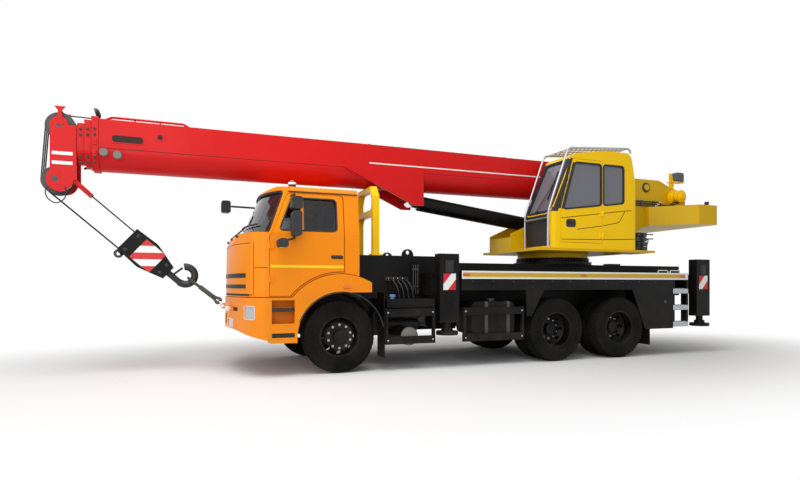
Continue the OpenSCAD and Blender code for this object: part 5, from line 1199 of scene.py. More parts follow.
def cushion(half_x, half_y, height, crown):
    """A stuffed pad on its back: rings that grow from the underside, turn up and close over its top.

    The top rises by crown towards the middle, less a row of sewn channels across it.
    """
    edge = 0.035
    pitch = 0.10
    turn = np.linspace(0, np.pi / 2, 6)
    under = np.stack([np.linspace(0.24, edge, 5), np.zeros(5)], -1)
    low = np.stack([edge * (1 - np.sin(turn)), edge * (1 - np.cos(turn))], -1)
    high = np.stack([edge * (1 - np.cos(turn)), height - edge * (1 - np.sin(turn))], -1)
    over = np.stack([np.linspace(edge, 0.25, 12), np.full(12, height)], -1)
    rings = []
    for depth, z in np.vstack([under, low, high, over[1:]]):
        a, b = half_x - depth, half_y - depth
        x, y = resampled(rectangle(-a, a, -b, b, min(0.07, 0.45 * min(a, b))), 72).T
        top = (z > height - 1e-6) * np.clip((depth - edge) / 0.06, 0, 1)
        sewn = np.exp(-np.square(np.mod(x + pitch / 2, pitch) - pitch / 2) / 0.00006)
        rings.append(np.stack([x, y, z + top * (crown * (1 - (x / half_x) ** 2) - 0.010 * sewn)], -1))
    return lofted(np.array(rings))


# Deck and chassis


def plate(name, body, finish, corners, uv):
    """A thin plate with its own map behind four corners, which turn left seen from outside."""
    corners = np.asarray(corners, float)
    out = unit(np.cross(corners[1] - corners[0], corners[2] - corners[1]))
    form = lofted(np.stack([corners - 0.004 * out, corners]))
    piece(name, body, finish, form, uv=np.vstack([uv, uv]))


UNIT_MAP = [(0, 0), (0, 1), (1, 1), (1, 0)]
JACK_XS = {end: middle(f"jack_{end}_left")[0] for end in ("front", "rear")}
JACK_SIDE_Y = box("beam_front_left")[1][1]
JACK_PLATE_HALF = 0.105
JACK_PLATE_Z = (1.19, 1.44)
LADDER_RUNGS_Z = ((0.51, 0.595), (0.812, 0.897), (1.112, 1.197))
RIVET_PITCH = 0.37
BORDER_X, BORDER_Z = (-6.59, -1.91), (1.362, 1.486)
STRIPE_X, STRIPE_Z = (-6.53, -1.93), (1.392, 1.460)


class CRANE_OT_deck_fittings(bpy.types.Operator):
    """Add the deck's stripes, rivets, handles and ladder treads, and the jack boxes' plates and slots"""

    bl_idname = "crane.add_deck_fittings"
    bl_label = "Deck Fittings"

    def execute(self, context):
        face = DECK_SIDE_Y
        border = slab(rectangle(*BORDER_X, *BORDER_Z), face - 0.003, face + 0.0025, edge=0.001)
        gold = slab(rectangle(*STRIPE_X, *STRIPE_Z), face, face + 0.004, edge=0.001)
        piece("deck_stripe_border", "chassis", "line_white", border.both_sides())
        piece("deck_stripe", "chassis", "line_gold", gold.both_sides())
        rivet = revolved([(-0.001, 0.010), (0.004, 0.008), (0.005, 0.004)], (-2.1, face, 1.325), LEFT, 10)
        lock = revolved([(-0.001, 0.028), (0.006, 0.026), (0.008, 0.014)], (-6.04, face, 0.963), LEFT, 18)
        fastenings = rivet.repeated([(-RIVET_PITCH * k, 0, 0) for k in range(12)]) + lock
        piece("deck_rivets", "chassis", "sheave_grey", fastenings.both_sides())
        bow = in_plane([(-5.97, 1.48), (-5.97, 1.53), (-6.20, 1.53), (-6.20, 1.48)], 1.15)
        bows = tube(eased(bow, 0.025), 0.010, 10).repeated([(0, 0, 0), (-0.29, 0, 0)])
        piece("deck_handles", "chassis", "line_white", bows.both_sides())
        self.ladder()
        for corner in CORNERS:
            self.jack_box(*corner.split("_"))
        return {"FINISHED"}

    def ladder(self):
        """Grey treads over the rear ladder's rungs, with ribs along their tops."""
        forms = []
        for low, high in LADDER_RUNGS_Z:
            front = (-6.233, DECK_SIDE_Y + 0.003, high + 0.003)
            forms.append(block((-6.597, 1.112, low - 0.003), front, 0.004))
            rib = block((-6.58, 1.13, high), (-6.25, 1.142, high + 0.010), 0.003)
            forms.append(rib.repeated([(0, 0.03 * k, 0) for k in range(4)]))
        piece("ladder_treads", "chassis", "aluminium", join(forms).both_sides())

    def jack_box(self, end, side):
        """A barred plate on the outside of a jack box, under a near-black slab of painted shade that stands
        for a recessed slot, with a bar in it.
        """
        s, x, body = SIDES[side], JACK_XS[end], f"outrigger_{end}_{side}"
        x0, x1 = x - JACK_PLATE_HALF, x + JACK_PLATE_HALF
        z0, z1 = JACK_PLATE_Z
        y = s * (JACK_SIDE_Y + 0.003)
        corners = [(x0, y, z0), (x0, y, z1), (x1, y, z1), (x1, y, z0)][::s]
        plate(f"hazard_{end}_{side}", body, "hazard", corners, UNIT_MAP[::s])
        y = JACK_SIDE_Y
        # The slot is no recess: a thin near-black slab on the face, painted shade
        slot = slab(rectangle(x - 0.07, x + 0.07, 1.455, 1.65, 0.015), y - 0.002, y + 0.002)
        bar = slab(rectangle(x - 0.045, x + 0.02, 1.46, 1.62, 0.008), y, y + 0.006)
        for name, form, finish in (("slot", slot, "rubber_trim"), ("slot_bar", bar, "plastic_black")):
            piece(f"jack_{name}_{end}_{side}", body, finish, form.on_side(s))


GUARD_FACE_Y = 1.24
GUARD_ENDS_X = (-0.70, -1.42, -1.98, -3.00)
GUARD_MIDDLES_Z = (0.4475, 0.8575)
LOCKER_TOP_Z = 1.055
RAIL_DEPTH = 0.02
STRAPS_X = (-2.38, -2.78)
FILLER_PLACE, LOCKER_CAP_PLACE = (-2.52, 1.05), (-0.82, 1.09)
STUBS_X, STUBS_Z = (-0.97, -1.05, -1.13, -1.21), 1.36


class CRANE_OT_chassis_fittings(bpy.types.Operator):
    """Add the tank straps and fillers, air bottles, guard bolts, and the pipes and hoses behind the cab"""

    bl_idname = "crane.add_chassis_fittings"
    bl_label = "Chassis Fittings"

    def execute(self, context):
        self.straps()
        bolt = bolt_head(0.009, 0.012, (0, GUARD_FACE_Y, 0), LEFT)
        bolts = bolt.repeated([(x, 0, z) for x in GUARD_ENDS_X for z in GUARD_MIDDLES_Z]).both_sides()
        piece("guard_bolts", "chassis", "steel", bolts)
        dome = [(-0.002, 0.139), (0.015, 0.128), (0.028, 0.09), (0.035, 0.04), (0.036, 0.004)]
        end = revolved(dome, on_left("side_tanks", -1.06, 0.55) * (1, 1, 0) + (0, 0, 0.5), LEFT, 40)
        piece("receiver_ends", "chassis", "receiver_grey", end.both_sides())
        neck = [(-0.002, 0.036), (0.03, 0.036), (0.032, 0.05), (0.065, 0.048), (0.072, 0.03)]
        cap = revolved(neck, (*LOCKER_CAP_PLACE, LOCKER_TOP_Z), UP, 6)
        piece("locker_cap", "chassis", "cap_blue", cap)
        back = block((-1.45, 0.52, 0.47), (-0.70, 0.545, 0.93), 0.004)
        round_ends = [(0, 0.03), (0.02, 0.075), (0.62, 0.075), (0.64, 0.03)]
        bottle = revolved(round_ends, (-1.40, 0.64, 0.82), (1, 0, 0))
        bottles = bottle.repeated([(0, 0, 0), (0, 0.18, 0), (0, 0.09, -0.16)])
        piece("air_bottles", "chassis", "rubber_trim", (back + bottles).both_sides())
        self.pipes()
        return {"FINISHED"}

    def straps(self):
        """Two bands round each fuel tank, and a filler cap on its top."""
        ring = eased([(0, 0.66, 1.003), (0, 1.173, 1.003), (0, 1.173, 0.477), (0, 0.66, 0.477)], 0.02)
        out = ring - (0, 0.9, 0.74)
        band = swept(ring, rectangle(-0.03, 0.03, -0.002, 0.005, 0.002, 1), out)
        bands = band.repeated([(x, 0, 0) for x in STRAPS_X]).both_sides()
        piece("tank_straps", "chassis", "sheave_grey", bands)
        neck = [(-0.002, 0.06), (0.02, 0.06), (0.022, 0.072), (0.05, 0.07), (0.056, 0.05)]
        filler = revolved(neck, on_top("side_tanks", *FILLER_PLACE), UP, 20)
        piece("tank_fillers", "chassis", "plastic_black", filler.both_sides())

    def pipes(self):
        """A row of pipe stubs on the girder with hoses down to the locker, and three standing pipes."""
        side = on_left("crane_base", -1.12, STUBS_Z)[1]
        face = side + RAIL_DEPTH
        rail = block((-1.31, side - 0.004, STUBS_Z - 0.035), (-0.91, face, STUBS_Z + 0.035), 0.006)
        starts = [np.array([x, face, STUBS_Z]) for x in STUBS_X]
        stubs = join(rod(p - (0, 0.004, 0), p + (0, 0.035, 0), 0.020) for p in starts)
        piece("hose_rail", "chassis", "plastic_black", rail)
        piece("hose_stubs", "chassis", "steel", stubs)
        route = [(0, 0, 0), (0, 0.07, 0), (-0.02, 0.17, -0.04), (-0.06, 0.24, -0.14), (-0.09, 0.25, -0.30)]
        for number, start in enumerate(starts):
            hose(f"locker_hose_{number}", "chassis", start + route, 0.015)
        pipe = tube(coords(-1.40, face, np.linspace(1.12, 1.60, 8)), 0.011, 8)
        pipes = pipe.repeated([(0, 0, 0), (-0.04, 0, 0), (-0.08, 0, 0)])
        clip = block((-1.50, side - 0.002, 1.22), (-1.38, side + 0.036, 1.25), 0.004)
        clips = clip.repeated([(0, 0, 0), (0, 0, 0.28)])
        piece("girder_pipes", "chassis", "machinery", pipes + clips)


# Operator's cab: side outlines of its panes, and the line of its front
OP_SIDE_Y = box("upper_cab")[1][1]
OP_DOOR_PANE = [(-4.638, 2.64), (-3.84, 2.54), (-4.078, 3.345), (-4.638, 3.345)]
OP_REAR_PANE = [(-5.13, 2.70), (-4.682, 2.64), (-4.682, 3.345), (-5.13, 3.345)]
OP_SCREEN = [(0.52, 2.50), (1.085, 2.50), (1.085, 3.40), (0.52, 3.40)]
OP_LEAN = (0.9, 0, 0.4)
OP_ROUND = 0.05
OP_WIPER_Y = (0.80, 0.98)
RAIL_R = 0.018
RAIL_YS = (box("cab_rails")[0][1] + RAIL_R, box("cab_rails")[1][1] - RAIL_R)
RAIL_LINE = [(-3.54, 1.886), (-3.54, 2.48), (-3.95, 3.58), (-5.29, 3.68), (-5.29, 3.591)]


def op_front_x(z):
    """Distance of the operator's screen from the front axle: a straight line from the belt to the brow."""
    return np.interp(z, [1.885, 2.48, 3.49], [-3.62, -3.59, -4.04])


def on_op_side(points, count=12):
    """Points evenly spaced along a line on the operator's cab's side."""
    return in_plane(spaced(points, count), OP_SIDE_Y)


class CRANE_OT_operator_cab(bpy.types.Operator):
    """Add the operator's cab seals, black posts, grooves, handle, wiper, rails and roof guard"""

    bl_idname = "crane.add_operator_cab"
    bl_label = "Operator's Cab"

    def execute(self, context):
        self.seals()
        self.black_front()
        self.grooves()
        self.handle()
        self.wiper()
        self.rails()
        return {"FINISHED"}

    def seals(self):
        side_seal = rectangle(-0.015, 0.015, -0.02, 0.004, 0.004, 2)
        for body, pane in (("operator_door", OP_DOOR_PANE), ("superstructure", OP_REAR_PANE)):
            path = in_plane(resampled(rounded_outline(pane, OP_ROUND), 80), OP_SIDE_Y)
            seal = swept(path, side_seal, LEFT, True)
            piece(f"{body}_pane_seal", body, "rubber_trim", seal)
        y, z = resampled(rounded_outline(OP_SCREEN, OP_ROUND), 100).T
        path = coords(op_front_x(z), y, z)
        seal = swept(path, rectangle(-0.024, 0.024, -0.02, 0.005, 0.005, 2), OP_LEAN, True)
        piece("operator_screen_seal", "superstructure", "rubber_trim", seal)

    def black_front(self):
        """A black panel on the lower front, posts beside the screen, and trim ahead of the door pane."""
        low = slab(rectangle(0.50, 1.09, 1.93, 2.46, 0.02), -0.006, 0.006, "yz")
        low.points[:, 0] += op_front_x(low.points[:, 2])
        z = np.linspace(1.93, 3.42, 20)
        forms = [low]
        for y, half in ((1.107, 0.022), (0.49, 0.026)):
            forms.append(strip(coords(op_front_x(z), y, z), half, 0.006, OP_LEAN, 0.01))
        y = OP_SIDE_Y
        shell = [(-3.715, 2.55), (-3.786, 2.55), (-4.026, 3.40), (-4.00, 3.42), (-3.955, 3.36)]
        forms.append(slab(shell, y - 0.004, y + 0.0025, edge=0.001))
        z = np.repeat(np.linspace(2.5, 3.40, 16), 10)
        turn = np.tile(np.radians(np.linspace(2, 88, 10)), 16)
        ring = coords(np.cos(turn), np.sin(turn), 0)
        inner = coords(op_front_x(z) - 0.13, y - 0.10, z)
        corner, out = draped("upper_cab", inner + 0.5 * ring, -ring)
        skin, back = ((corner + depth * out).reshape(16, 10, 3) for depth in (0.002, -0.004))
        forms.append(lofted(np.concatenate([skin, back[:, ::-1]], axis=1)))
        piece("operator_black_front", "superstructure", "plastic_black", join(forms))
        door = [(-3.80, 2.545), (-3.845, 2.545), (-4.08, 3.34), (-4.035, 3.34)]
        trim = slab(door, y - 0.004, y + 0.0025, edge=0.001)
        piece("operator_door_trim", "operator_door", "plastic_black", trim)

    def grooves(self):
        """Pressed lines along the side, split where the door meets the cab."""
        door = [[(-3.80, 2.39), (-4.64, 2.50)], [(-3.80, 2.035), (-4.64, 2.05)]]
        door += [[(-4.64, 2.285), (-4.12, 2.21)]]
        shell = [[(-4.67, 2.505), (-5.16, 2.57), (-5.30, 2.58)], [(-4.67, 2.05), (-5.40, 2.08)]]
        shell += [[(-5.16, 2.57), (-5.02, 2.36), (-4.67, 2.29)]]
        for body, lines in (("operator_door", door), ("superstructure", shell)):
            form = join(strip(on_op_side(line), 0.006, 0.001, LEFT) for line in lines)
            piece(f"{body}_grooves", body, "seam_shadow", form)

    def handle(self):
        y = OP_SIDE_Y
        well = slab(rectangle(-4.095, -3.895, 2.242, 2.38, 0.045), y - 0.003, y + 0.004)
        grip = rod((-4.06, y + 0.016, 2.33), (-3.93, y + 0.016, 2.33), 0.014)
        posts = rod((-4.05, y, 2.33), (-4.05, y + 0.018, 2.33), 0.010).repeated([(0, 0, 0), (0.11, 0, 0)])
        piece("operator_door_handle", "operator_door", "plastic_black", well + grip + posts)

    def wiper(self):
        z = np.linspace(2.52, 2.98, 12)
        arm = coords(op_front_x(z) + 0.028, np.linspace(*OP_WIPER_Y, 12), z)
        z = np.linspace(2.72, 3.22, 12)
        blade = coords(op_front_x(z) + 0.014, OP_WIPER_Y[1], z)
        wipe = swept(blade, rectangle(-0.007, 0.007, -0.012, 0.010, 0.003, 2), OP_LEAN)
        pivot = revolved([(-0.04, 0.025), (0.01, 0.022), (0.02, 0.012)], arm[0], (1, 0, 0.2), 12)
        form = tube(arm, 0.007, 8) + wipe + pivot
        piece("operator_wiper", "superstructure", "plastic_black", form)

    def rails(self):
        """Bent tubes in place of the plain rails, with a bar across and a guard of rods over the roof."""
        rail = tube(eased(in_plane(RAIL_LINE, 0), 0.09), RAIL_R, 12)
        rails = rail.repeated([(0, y, 0) for y in RAIL_YS])
        y0, y1 = RAIL_YS
        front_x = RAIL_LINE[0][0]
        bars = [rod((front_x, y0, 2.39), (front_x, y1, 2.39), RAIL_R)]
        roof_x, roof_z = np.transpose(RAIL_LINE[3:1:-1])
        for x in np.linspace(-4.02, -5.25, 15):
            z = np.interp(x, roof_x, roof_z)
            bars.append(rod((x, y0, z), (x, y1, z), 0.008, 8))
        bars += [rod((-4.02, y, 3.585), (-5.27, y, 3.678), 0.009, 8) for y in (0.69, 0.85, 1.02)]
        form = rails + join(bars)
        piece("operator_rails", "superstructure", "aluminium", form, ["cab_rails"])


CHEEK_Y = 0.375
BOOM_PIN = (-6.46, 3.20)
WINCH = middle("winch")[[0, 2]]
PLATFORM_Z = 1.885
VALVE_PITCH = 0.085
VALVE_PLACE = (-5.76, 0.90, PLATFORM_Z)
PIPES_Z = (2.84, 2.88, 2.92)
LAMP_BOX_Y = 0.36
WINCH_HOSE_R = 0.014


class CRANE_OT_upper_fittings(bpy.types.Operator):
    """Add the winch motor's fittings, the pin caps, pipes, hoses, valve block, lamp box and rear plates"""

    bl_idname = "crane.add_upper_fittings"
    bl_label = "Upper Fittings"

    def execute(self, context):
        self.winch_motor()
        self.pin_caps()
        self.pipes()
        self.valve_block()
        self.lamp_box()
        self.rear_plates()
        return {"FINISHED"}

    def winch_motor(self):
        """A stepped gear case with bolts round it and a bright band."""
        x, z = WINCH
        face = np.array([x, box("winch")[1][1], z])
        steps = [(-0.012, 0.126), (0.012, 0.124), (0.02, 0.085), (0.05, 0.078), (0.062, 0.05)]
        case = revolved(steps, face, LEFT, 36)
        bolt = bolt_head(0.010, 0.012, face + (0.105, 0.010, 0), LEFT)
        bolts = bolt.spun(face, LEFT, np.arange(0, 360, 36))
        flange = ring_of(rectangle(0, 0.03, 0.12, 0.16), face - (0, 0.185, 0), LEFT)
        piece("winch_case", "superstructure", "crane_yellow", case + flange + bolts)
        band = ring_of(rectangle(0, 0.02, 0.118, 0.126), face - (0, 0.08, 0), LEFT)
        piece("winch_band", "superstructure", "chrome", band)

    def pin_caps(self):
        """A dark keeper ring and its bolts round each end of the boom's foot pin."""
        x, z = BOOM_PIN
        start = np.array([x, CHEEK_Y - 0.002, z])
        ring = ring_of([(0, 0.062), (0.016, 0.062), (0.016, 0.095), (0, 0.10)], start, LEFT)
        bolt = bolt_head(0.009, 0.01, start + (0.08, 0.015, 0), LEFT)
        bolts = bolt.spun(start, LEFT, np.arange(0, 360, 60))
        piece("boom_pin_caps", "superstructure", "machinery", (ring + bolts).both_sides())

    def pipes(self):
        """Three clipped pipes along the left cheek, and hoses from their ends up to the winch motor."""
        ends = []
        forms = []
        for k, z in enumerate(PIPES_Z):
            line = [(-5.56, z - 0.30), (-5.64, z - 0.02), (-6.0, z), (-6.70 - 0.05 * k, z)]
            path = eased(in_plane(line, CHEEK_Y + 0.02), 0.06)
            forms.append(tube(path, 0.013, 10))
            ends.append(path[-1])
        clips = block((-6.02, CHEEK_Y - 0.002, 2.82), (-5.98, 0.412, 2.94), 0.004)
        forms.append(clips.repeated([(0, 0, 0), (-0.33, 0, 0), (-0.64, 0, 0)]))
        piece("winch_pipes", "superstructure", "machinery", join(forms))
        collars = join(rod(p + (0.03, 0, 0), p - (0.03, 0, 0), 0.019) for p in ends)
        piece("pipe_collars", "superstructure", "steel", collars)
        x, z = WINCH
        routes = [
            [(-0.08, 0.01, -0.005), (-0.22, 0.07, 0.0), (-0.36, 0.12, 0.08)],
            [(-0.09, 0.02, -0.01), (-0.25, 0.10, -0.02), (-0.42, 0.14, 0.04)],
        ]
        for number, (end, route) in enumerate(zip(ends, routes)):
            path = np.vstack([end, end + route, (x - 0.06 + 0.10 * number, 0.53, z - 0.105)])
            hose(f"winch_hose_{number}", "superstructure", path, WINCH_HOSE_R)

    def valve_block(self):
        """A stack of control valves behind the operator's cab, with levers, caps and a guard bar."""
        low = np.array(VALVE_PLACE)
        stack = []
        for k in range(4):
            foot = low + (0, 0, VALVE_PITCH * k)
            stack.append(block(foot, foot + (0.24 - 0.03 * (k % 2), 0.20, VALVE_PITCH - 0.007), 0.008))
            stack.append(rod(foot + (0.12, 0.20, 0.04), foot + (0.12, 0.25, 0.04), 0.028))
        levers = [rod(low + (0.02, 0.14, z), low + (-0.20, 0.14, z + 0.01), 0.011) for z in (0.22, 0.30)]
        guard = in_plane([(-0.02, 0), (-0.02, 0.10), (-0.06, 0.20), (0.05, 0.25)], 0.17)
        form = join(stack + levers) + tube(eased(low + guard, 0.03), 0.011, 10)
        piece("valve_stack", "superstructure", "machinery", form)

    def lamp_box(self):
        """A grey lamp box on a yellow bracket over the winch, with a pale grip behind it."""
        y = LAMP_BOX_Y
        foot = on_top("turntable", -7.12, y)
        bracket = [(-7.08, foot[2] - 0.03), (-7.20, foot[2] - 0.09)]
        bracket += [(-7.20, 3.36), (-7.16, 3.52), (-7.08, 3.53)]
        arm = slab(bracket, y - 0.012, y + 0.012, edge=0.004)
        shelf = block((-7.42, y - 0.08, 3.345), (-7.10, y + 0.08, 3.362), 0.004)
        piece("lamp_bracket", "superstructure", "crane_yellow", arm + shelf)
        case = slab(rectangle(-7.41, -7.19, 3.362, 3.55, 0.05, 5), y - 0.085, y + 0.085, edge=0.02)
        piece("lamp_box", "superstructure", "plastic_grey", case)
        grip = in_plane([(-7.40, 3.55), (-7.47, 3.55), (-7.47, 3.36), (-7.40, 3.353)], y)
        piece("lamp_grip", "superstructure", "line_white", tube(eased(grip, 0.025), 0.011, 10))

    def rear_plates(self):
        """Barred plates on the counterweight's back, and small lamps on its rear edge."""
        low, high = box("counterweight")
        x = low[0] - 0.003
        for side, s in SIDES.items():
            y0, y1 = s * (high[1] - 0.32), s * (high[1] - 0.07)
            z0, z1 = low[2] + 0.06, high[2] - 0.06
            corners = [(x, y0, z0), (x, y0, z1), (x, y1, z1), (x, y1, z0)][::s]
            plate(f"rear_hazard_{side}", "superstructure", "hazard", corners, UNIT_MAP[::s])
        foot = on_top("counterweight", -7.42, high[1] - 0.15)
        stalk = rod(foot - (0, 0, 0.002), foot + (0, 0, 0.03), 0.018)
        drum = [(0, 0.03), (0.01, 0.042), (0.05, 0.042), (0.06, 0.03)]
        lamp = stalk + revolved(drum, foot + (0, 0, 0.03), UP, 20)
        piece("rear_lamps", "superstructure", "plastic_black", lamp.both_sides())


# Boom and hook

HEAD_TOP = np.array([3.66, 0, 3.44])
HEAD_LOW = np.array([3.71, 0, 2.70])
ROPE_ROUND_R = 0.1785
HEAD_FACE_Y = box("boom_tip")[1][1]
COLLAR_PITCH = box("boom_section_2")[1][0] - box("boom_base")[1][0]
COLLAR_STEP = box("boom_section_2")[1][1] - box("boom_section_3")[1][1]
GUARD_RAIL_Y, GUARD_RAIL_FOOT_Z, GUARD_RAIL_Z = 0.2, 3.545, 3.60
GUIDES_X = (-5.9, -3.4, -0.8, 1.9)
LIGHT_X, LIGHTS_YZ, LIGHT_WAY = 3.20, ((0.22, 3.66), (0.10, 3.655)), (1, 0, -0.3)
DRUMS_XZ = ((3.11, 3.085), (2.94, 3.06))
COLLAR_BOLTS_Z = (3.40, 3.32, 3.02, 2.94)
WRAPS = 24
DRUM_R = 0.150
DRUM_HALF = 0.245


class CRANE_OT_boom_fittings(bpy.types.Operator):
    """Add the boom's lines, bands, slots, guard rails, work lights, cable drums and ropes"""

    bl_idname = "crane.add_boom_fittings"
    bl_label = "Boom Fittings"

    def execute(self, context):
        self.lines()
        self.guard_rails()
        self.work_lights()
        self.drums()
        self.keeper()
        self.collar_bolts()
        path = [(3.80, 0.203, 2.585), (3.82, 0.207, 2.52), (3.79, 0.208, 2.43), (3.70, 0.208, 2.375)]
        path += [(3.61, 0.208, 2.42), (3.575, 0.207, 2.51), (3.59, 0.203, 2.60)]
        hose("head_cable", "boom_4", path, 0.008)
        self.ropes(context.scene.crane_sizes.rope / 2)
        return {"FINISHED"}

    def lines(self):
        """A white line along the rear half of each side over a seam, slots, and two bands on the head."""
        y = BOOM_SIDE_Y
        line = slab(rectangle(-5.9, -0.73, 3.242, 3.262), y - 0.002, y + 0.002, edge=0.0008)
        piece("boom_line", "boom", "line_white", line.both_sides())
        seam = slab(rectangle(-6.1, 3.15, 3.148, 3.156), y - 0.002, y + 0.0015, edge=0.0006)
        slot = slab(rectangle(2.62, 3.01, 3.245, 3.335, 0.04), y - 0.002, y + 0.0015, edge=0.001)
        hole = revolved([(-0.002, 0.034), (0.002, 0.034)], (2.40, y, 3.36), LEFT)
        piece("boom_seam", "boom", "seam_shadow", (seam + slot + hole).both_sides())
        lip = [(0, 0.034), (0.006, 0.035), (0.006, 0.042), (0, 0.044)]
        rim = ring_of(lip, (2.40, y - 0.001, 3.36), LEFT)
        line = in_plane(resampled(rectangle(2.612, 3.018, 3.237, 3.343, 0.045), 60), y)
        edge = swept(line, rectangle(-0.006, 0.006, -0.003, 0.006, 0.002, 1), LEFT, True)
        lug = slab(rectangle(3.195, 3.25, 3.18, 3.27, 0.012), y + 0.02, y + 0.035)
        bolt = bolt_head(0.012, 0.012, (3.222, y + 0.034, 3.225), LEFT)
        form = rim + edge + (lug + bolt).repeated([(0, 0, 0), (0, 0, -0.16)])
        piece("boom_rims", "boom", "boom_red", form.both_sides())
        y = HEAD_FACE_Y
        band = slab(rectangle(3.50, 3.745, 2.90, 2.945), y - 0.003, y + 0.003, edge=0.001)
        bands = band.repeated([(0, 0, 0), (0, 0, 0.13)])
        piece("head_bands", "boom_4", "line_white", bands.both_sides())

    def guard_rails(self):
        """Rails over the boom's front end, bent down to the boom at their ends."""
        y, foot, top = GUARD_RAIL_Y, GUARD_RAIL_FOOT_Z, GUARD_RAIL_Z
        line = in_plane([(1.99, foot), (2.09, top), (3.02, top), (3.12, foot)], y)
        post = rod((2.4, y, foot), (2.4, y, top), 0.012, 8)
        posts = post.repeated([(0, 0, 0), (0.33, 0, 0)])
        rails = (tube(eased(line, 0.03), 0.017, 10) + posts).both_sides()
        piece("boom_guard_rails", "boom", "boom_red", rails)

    def work_lights(self):
        """Two round lamps on stalks at the boom's front collar."""
        bowl = [(0, 0.02), (0.015, 0.045), (0.05, 0.058), (0.055, 0.06)]
        glass = [(0.055, 0.056), (0.060, 0.050), (0.063, 0.03)]
        forms, glasses = [], []
        for y, z in LIGHTS_YZ:
            place = np.array([LIGHT_X, y, z])
            back = place - (0.03, 0, 0)
            forms.append(revolved(bowl, back, LIGHT_WAY, 20))
            forms.append(rod((LIGHT_X, y, GUARD_RAIL_FOOT_Z), place, 0.010, 8))
            glasses.append(revolved(glass, back, LIGHT_WAY, 20))
        piece("boom_lights", "boom", "plastic_black", join(forms))
        piece("boom_light_lenses", "boom", "lens_clear", join(glasses))

    def drums(self):
        """Two cable drums on the boom's left side near the collars."""
        drum = [(-0.02, 0.05), (0.012, 0.055), (0.016, 0.034)]
        drum += [(0.05, 0.034), (0.054, 0.055), (0.066, 0.052)]
        form = join(revolved(drum, place, LEFT) for place in in_plane(DRUMS_XZ, BOOM_SIDE_Y))
        piece("boom_cable_drums", "boom", "receiver_grey", form)

    def keeper(self):
        """A forked rope keeper over the top sheaves, on the head plates."""
        fork = [(3.61, 3.44), (3.69, 3.44), (3.675, 3.63), (3.72, 3.69), (3.58, 3.69), (3.63, 3.63)]
        post = slab(fork, HEAD_FACE_Y - 0.014, HEAD_FACE_Y + 0.004)
        roller = rod((3.65, -0.19, 3.645), (3.65, 0.19, 3.645), 0.016)
        piece("rope_keeper", "boom_4", "boom_red", post.both_sides() + roller)

    def collar_bolts(self):
        """Bolts that hold the slide pads in each collar."""
        for k, body in enumerate(("boom", "boom_2", "boom_3")):
            ahead, less = COLLAR_PITCH * k, COLLAR_STEP * k
            bolt = bolt_head(0.013, 0.018, (3.221 + ahead, 0.302 - less, 0), LEFT)
            pad = block((3.20 + ahead, -0.12, 3.565 - less), (3.245 + ahead, 0.12, 3.60 - less), 0.004)
            bolts = bolt.repeated([(0, 0, z) for z in COLLAR_BOLTS_Z]).both_sides()
            piece(f"{body}_collar_bolts", body, "hook_iron", bolts)
            piece(f"{body}_collar_pads", body, "boom_red", pad)

    def ropes(self, radius):
        """The hoist rope along the boom's top, over the head and down its front, and on the drum."""
        x = np.linspace(-6.1, 3.15, 60)
        z = 3.60 + 0.02 * np.sin(np.linspace(0, np.pi, 60))
        roped("boom_rope", "boom", "wire_rope", [(coords(x, 0, z), False)], radius)
        guides = []
        for guide_x in GUIDES_X:
            top = np.interp(guide_x, x, z) - 0.5 * radius
            foot = (guide_x - 0.03, -0.07, BOOM_TOP_Z - 0.004)
            guides.append(block(foot, (guide_x + 0.03, 0.07, top), 0.004))
        piece("rope_guides", "boom", "boom_red", join(guides))
        turn = np.radians(np.linspace(90, -4, 20))[:, None]
        over = HEAD_TOP + ROPE_ROUND_R * (np.cos(turn) * (1, 0, 0) + np.sin(turn) * UP)
        line = np.vstack([(3.16, 0, 3.612), over, HEAD_LOW + (ROPE_ROUND_R, 0, 0.022)])
        falls = [(line, False)] + [(line[-2:] * (1, 0, 1) + (0, y, 0), False) for y in (-0.1, 0.1)]
        roped("head_rope", "boom_4", "wire_rope", falls, radius)
        turn = np.linspace(0, 2 * np.pi * WRAPS, WRAPS * 24)
        out = coords(np.cos(turn), 0, np.sin(turn))
        along = coords(0, np.linspace(-DRUM_HALF, DRUM_HALF, len(turn)), 0)
        path = in_plane([WINCH], 0) + along + (DRUM_R + radius) * out
        first, second = circle(radius, 8).T[:, None, :, None]
        wound = lofted(path[:, None] + first * out[:, None] + second * LEFT)
        piece("winch_rope", "superstructure", "wire_rope", wound, uv=rope_map(path, 8))


FALL_ANGLE = 48.3
BLOCK_FACE_Y = box("hook_block")[1][1]
HOOK_STOCK = np.array([-0.13, 0, -2.22])
HOOK_STOCK_R = 0.052
SLING_R, SLING_LEG_R = 0.020, 0.034
SHACKLE_EYE_R = 0.036


def on_falls(form):
    """A form given in the frame of the falls, hung from the head's lower pin, as the crane has it."""
    return form.turned(np.zeros(3), LEFT, FALL_ANGLE).moved(HEAD_LOW)


def eye(centre, tip, axis, radius):
    """A teardrop line: an arc round a centre, square to an axis, and straight lines to a tip."""
    reach = np.linalg.norm(tip - centre)
    ahead = (tip - centre) / reach
    side = unit(np.cross(axis, ahead))
    touch = math.acos(radius / reach)
    turn = np.linspace(touch, 2 * np.pi - touch, 24)[:, None]
    ring = centre + radius * (np.cos(turn) * ahead + np.sin(turn) * side)
    return np.vstack([spaced([tip, ring[0]], 8)[:-1], ring, spaced([ring[-1], tip], 8)[1:-1]])


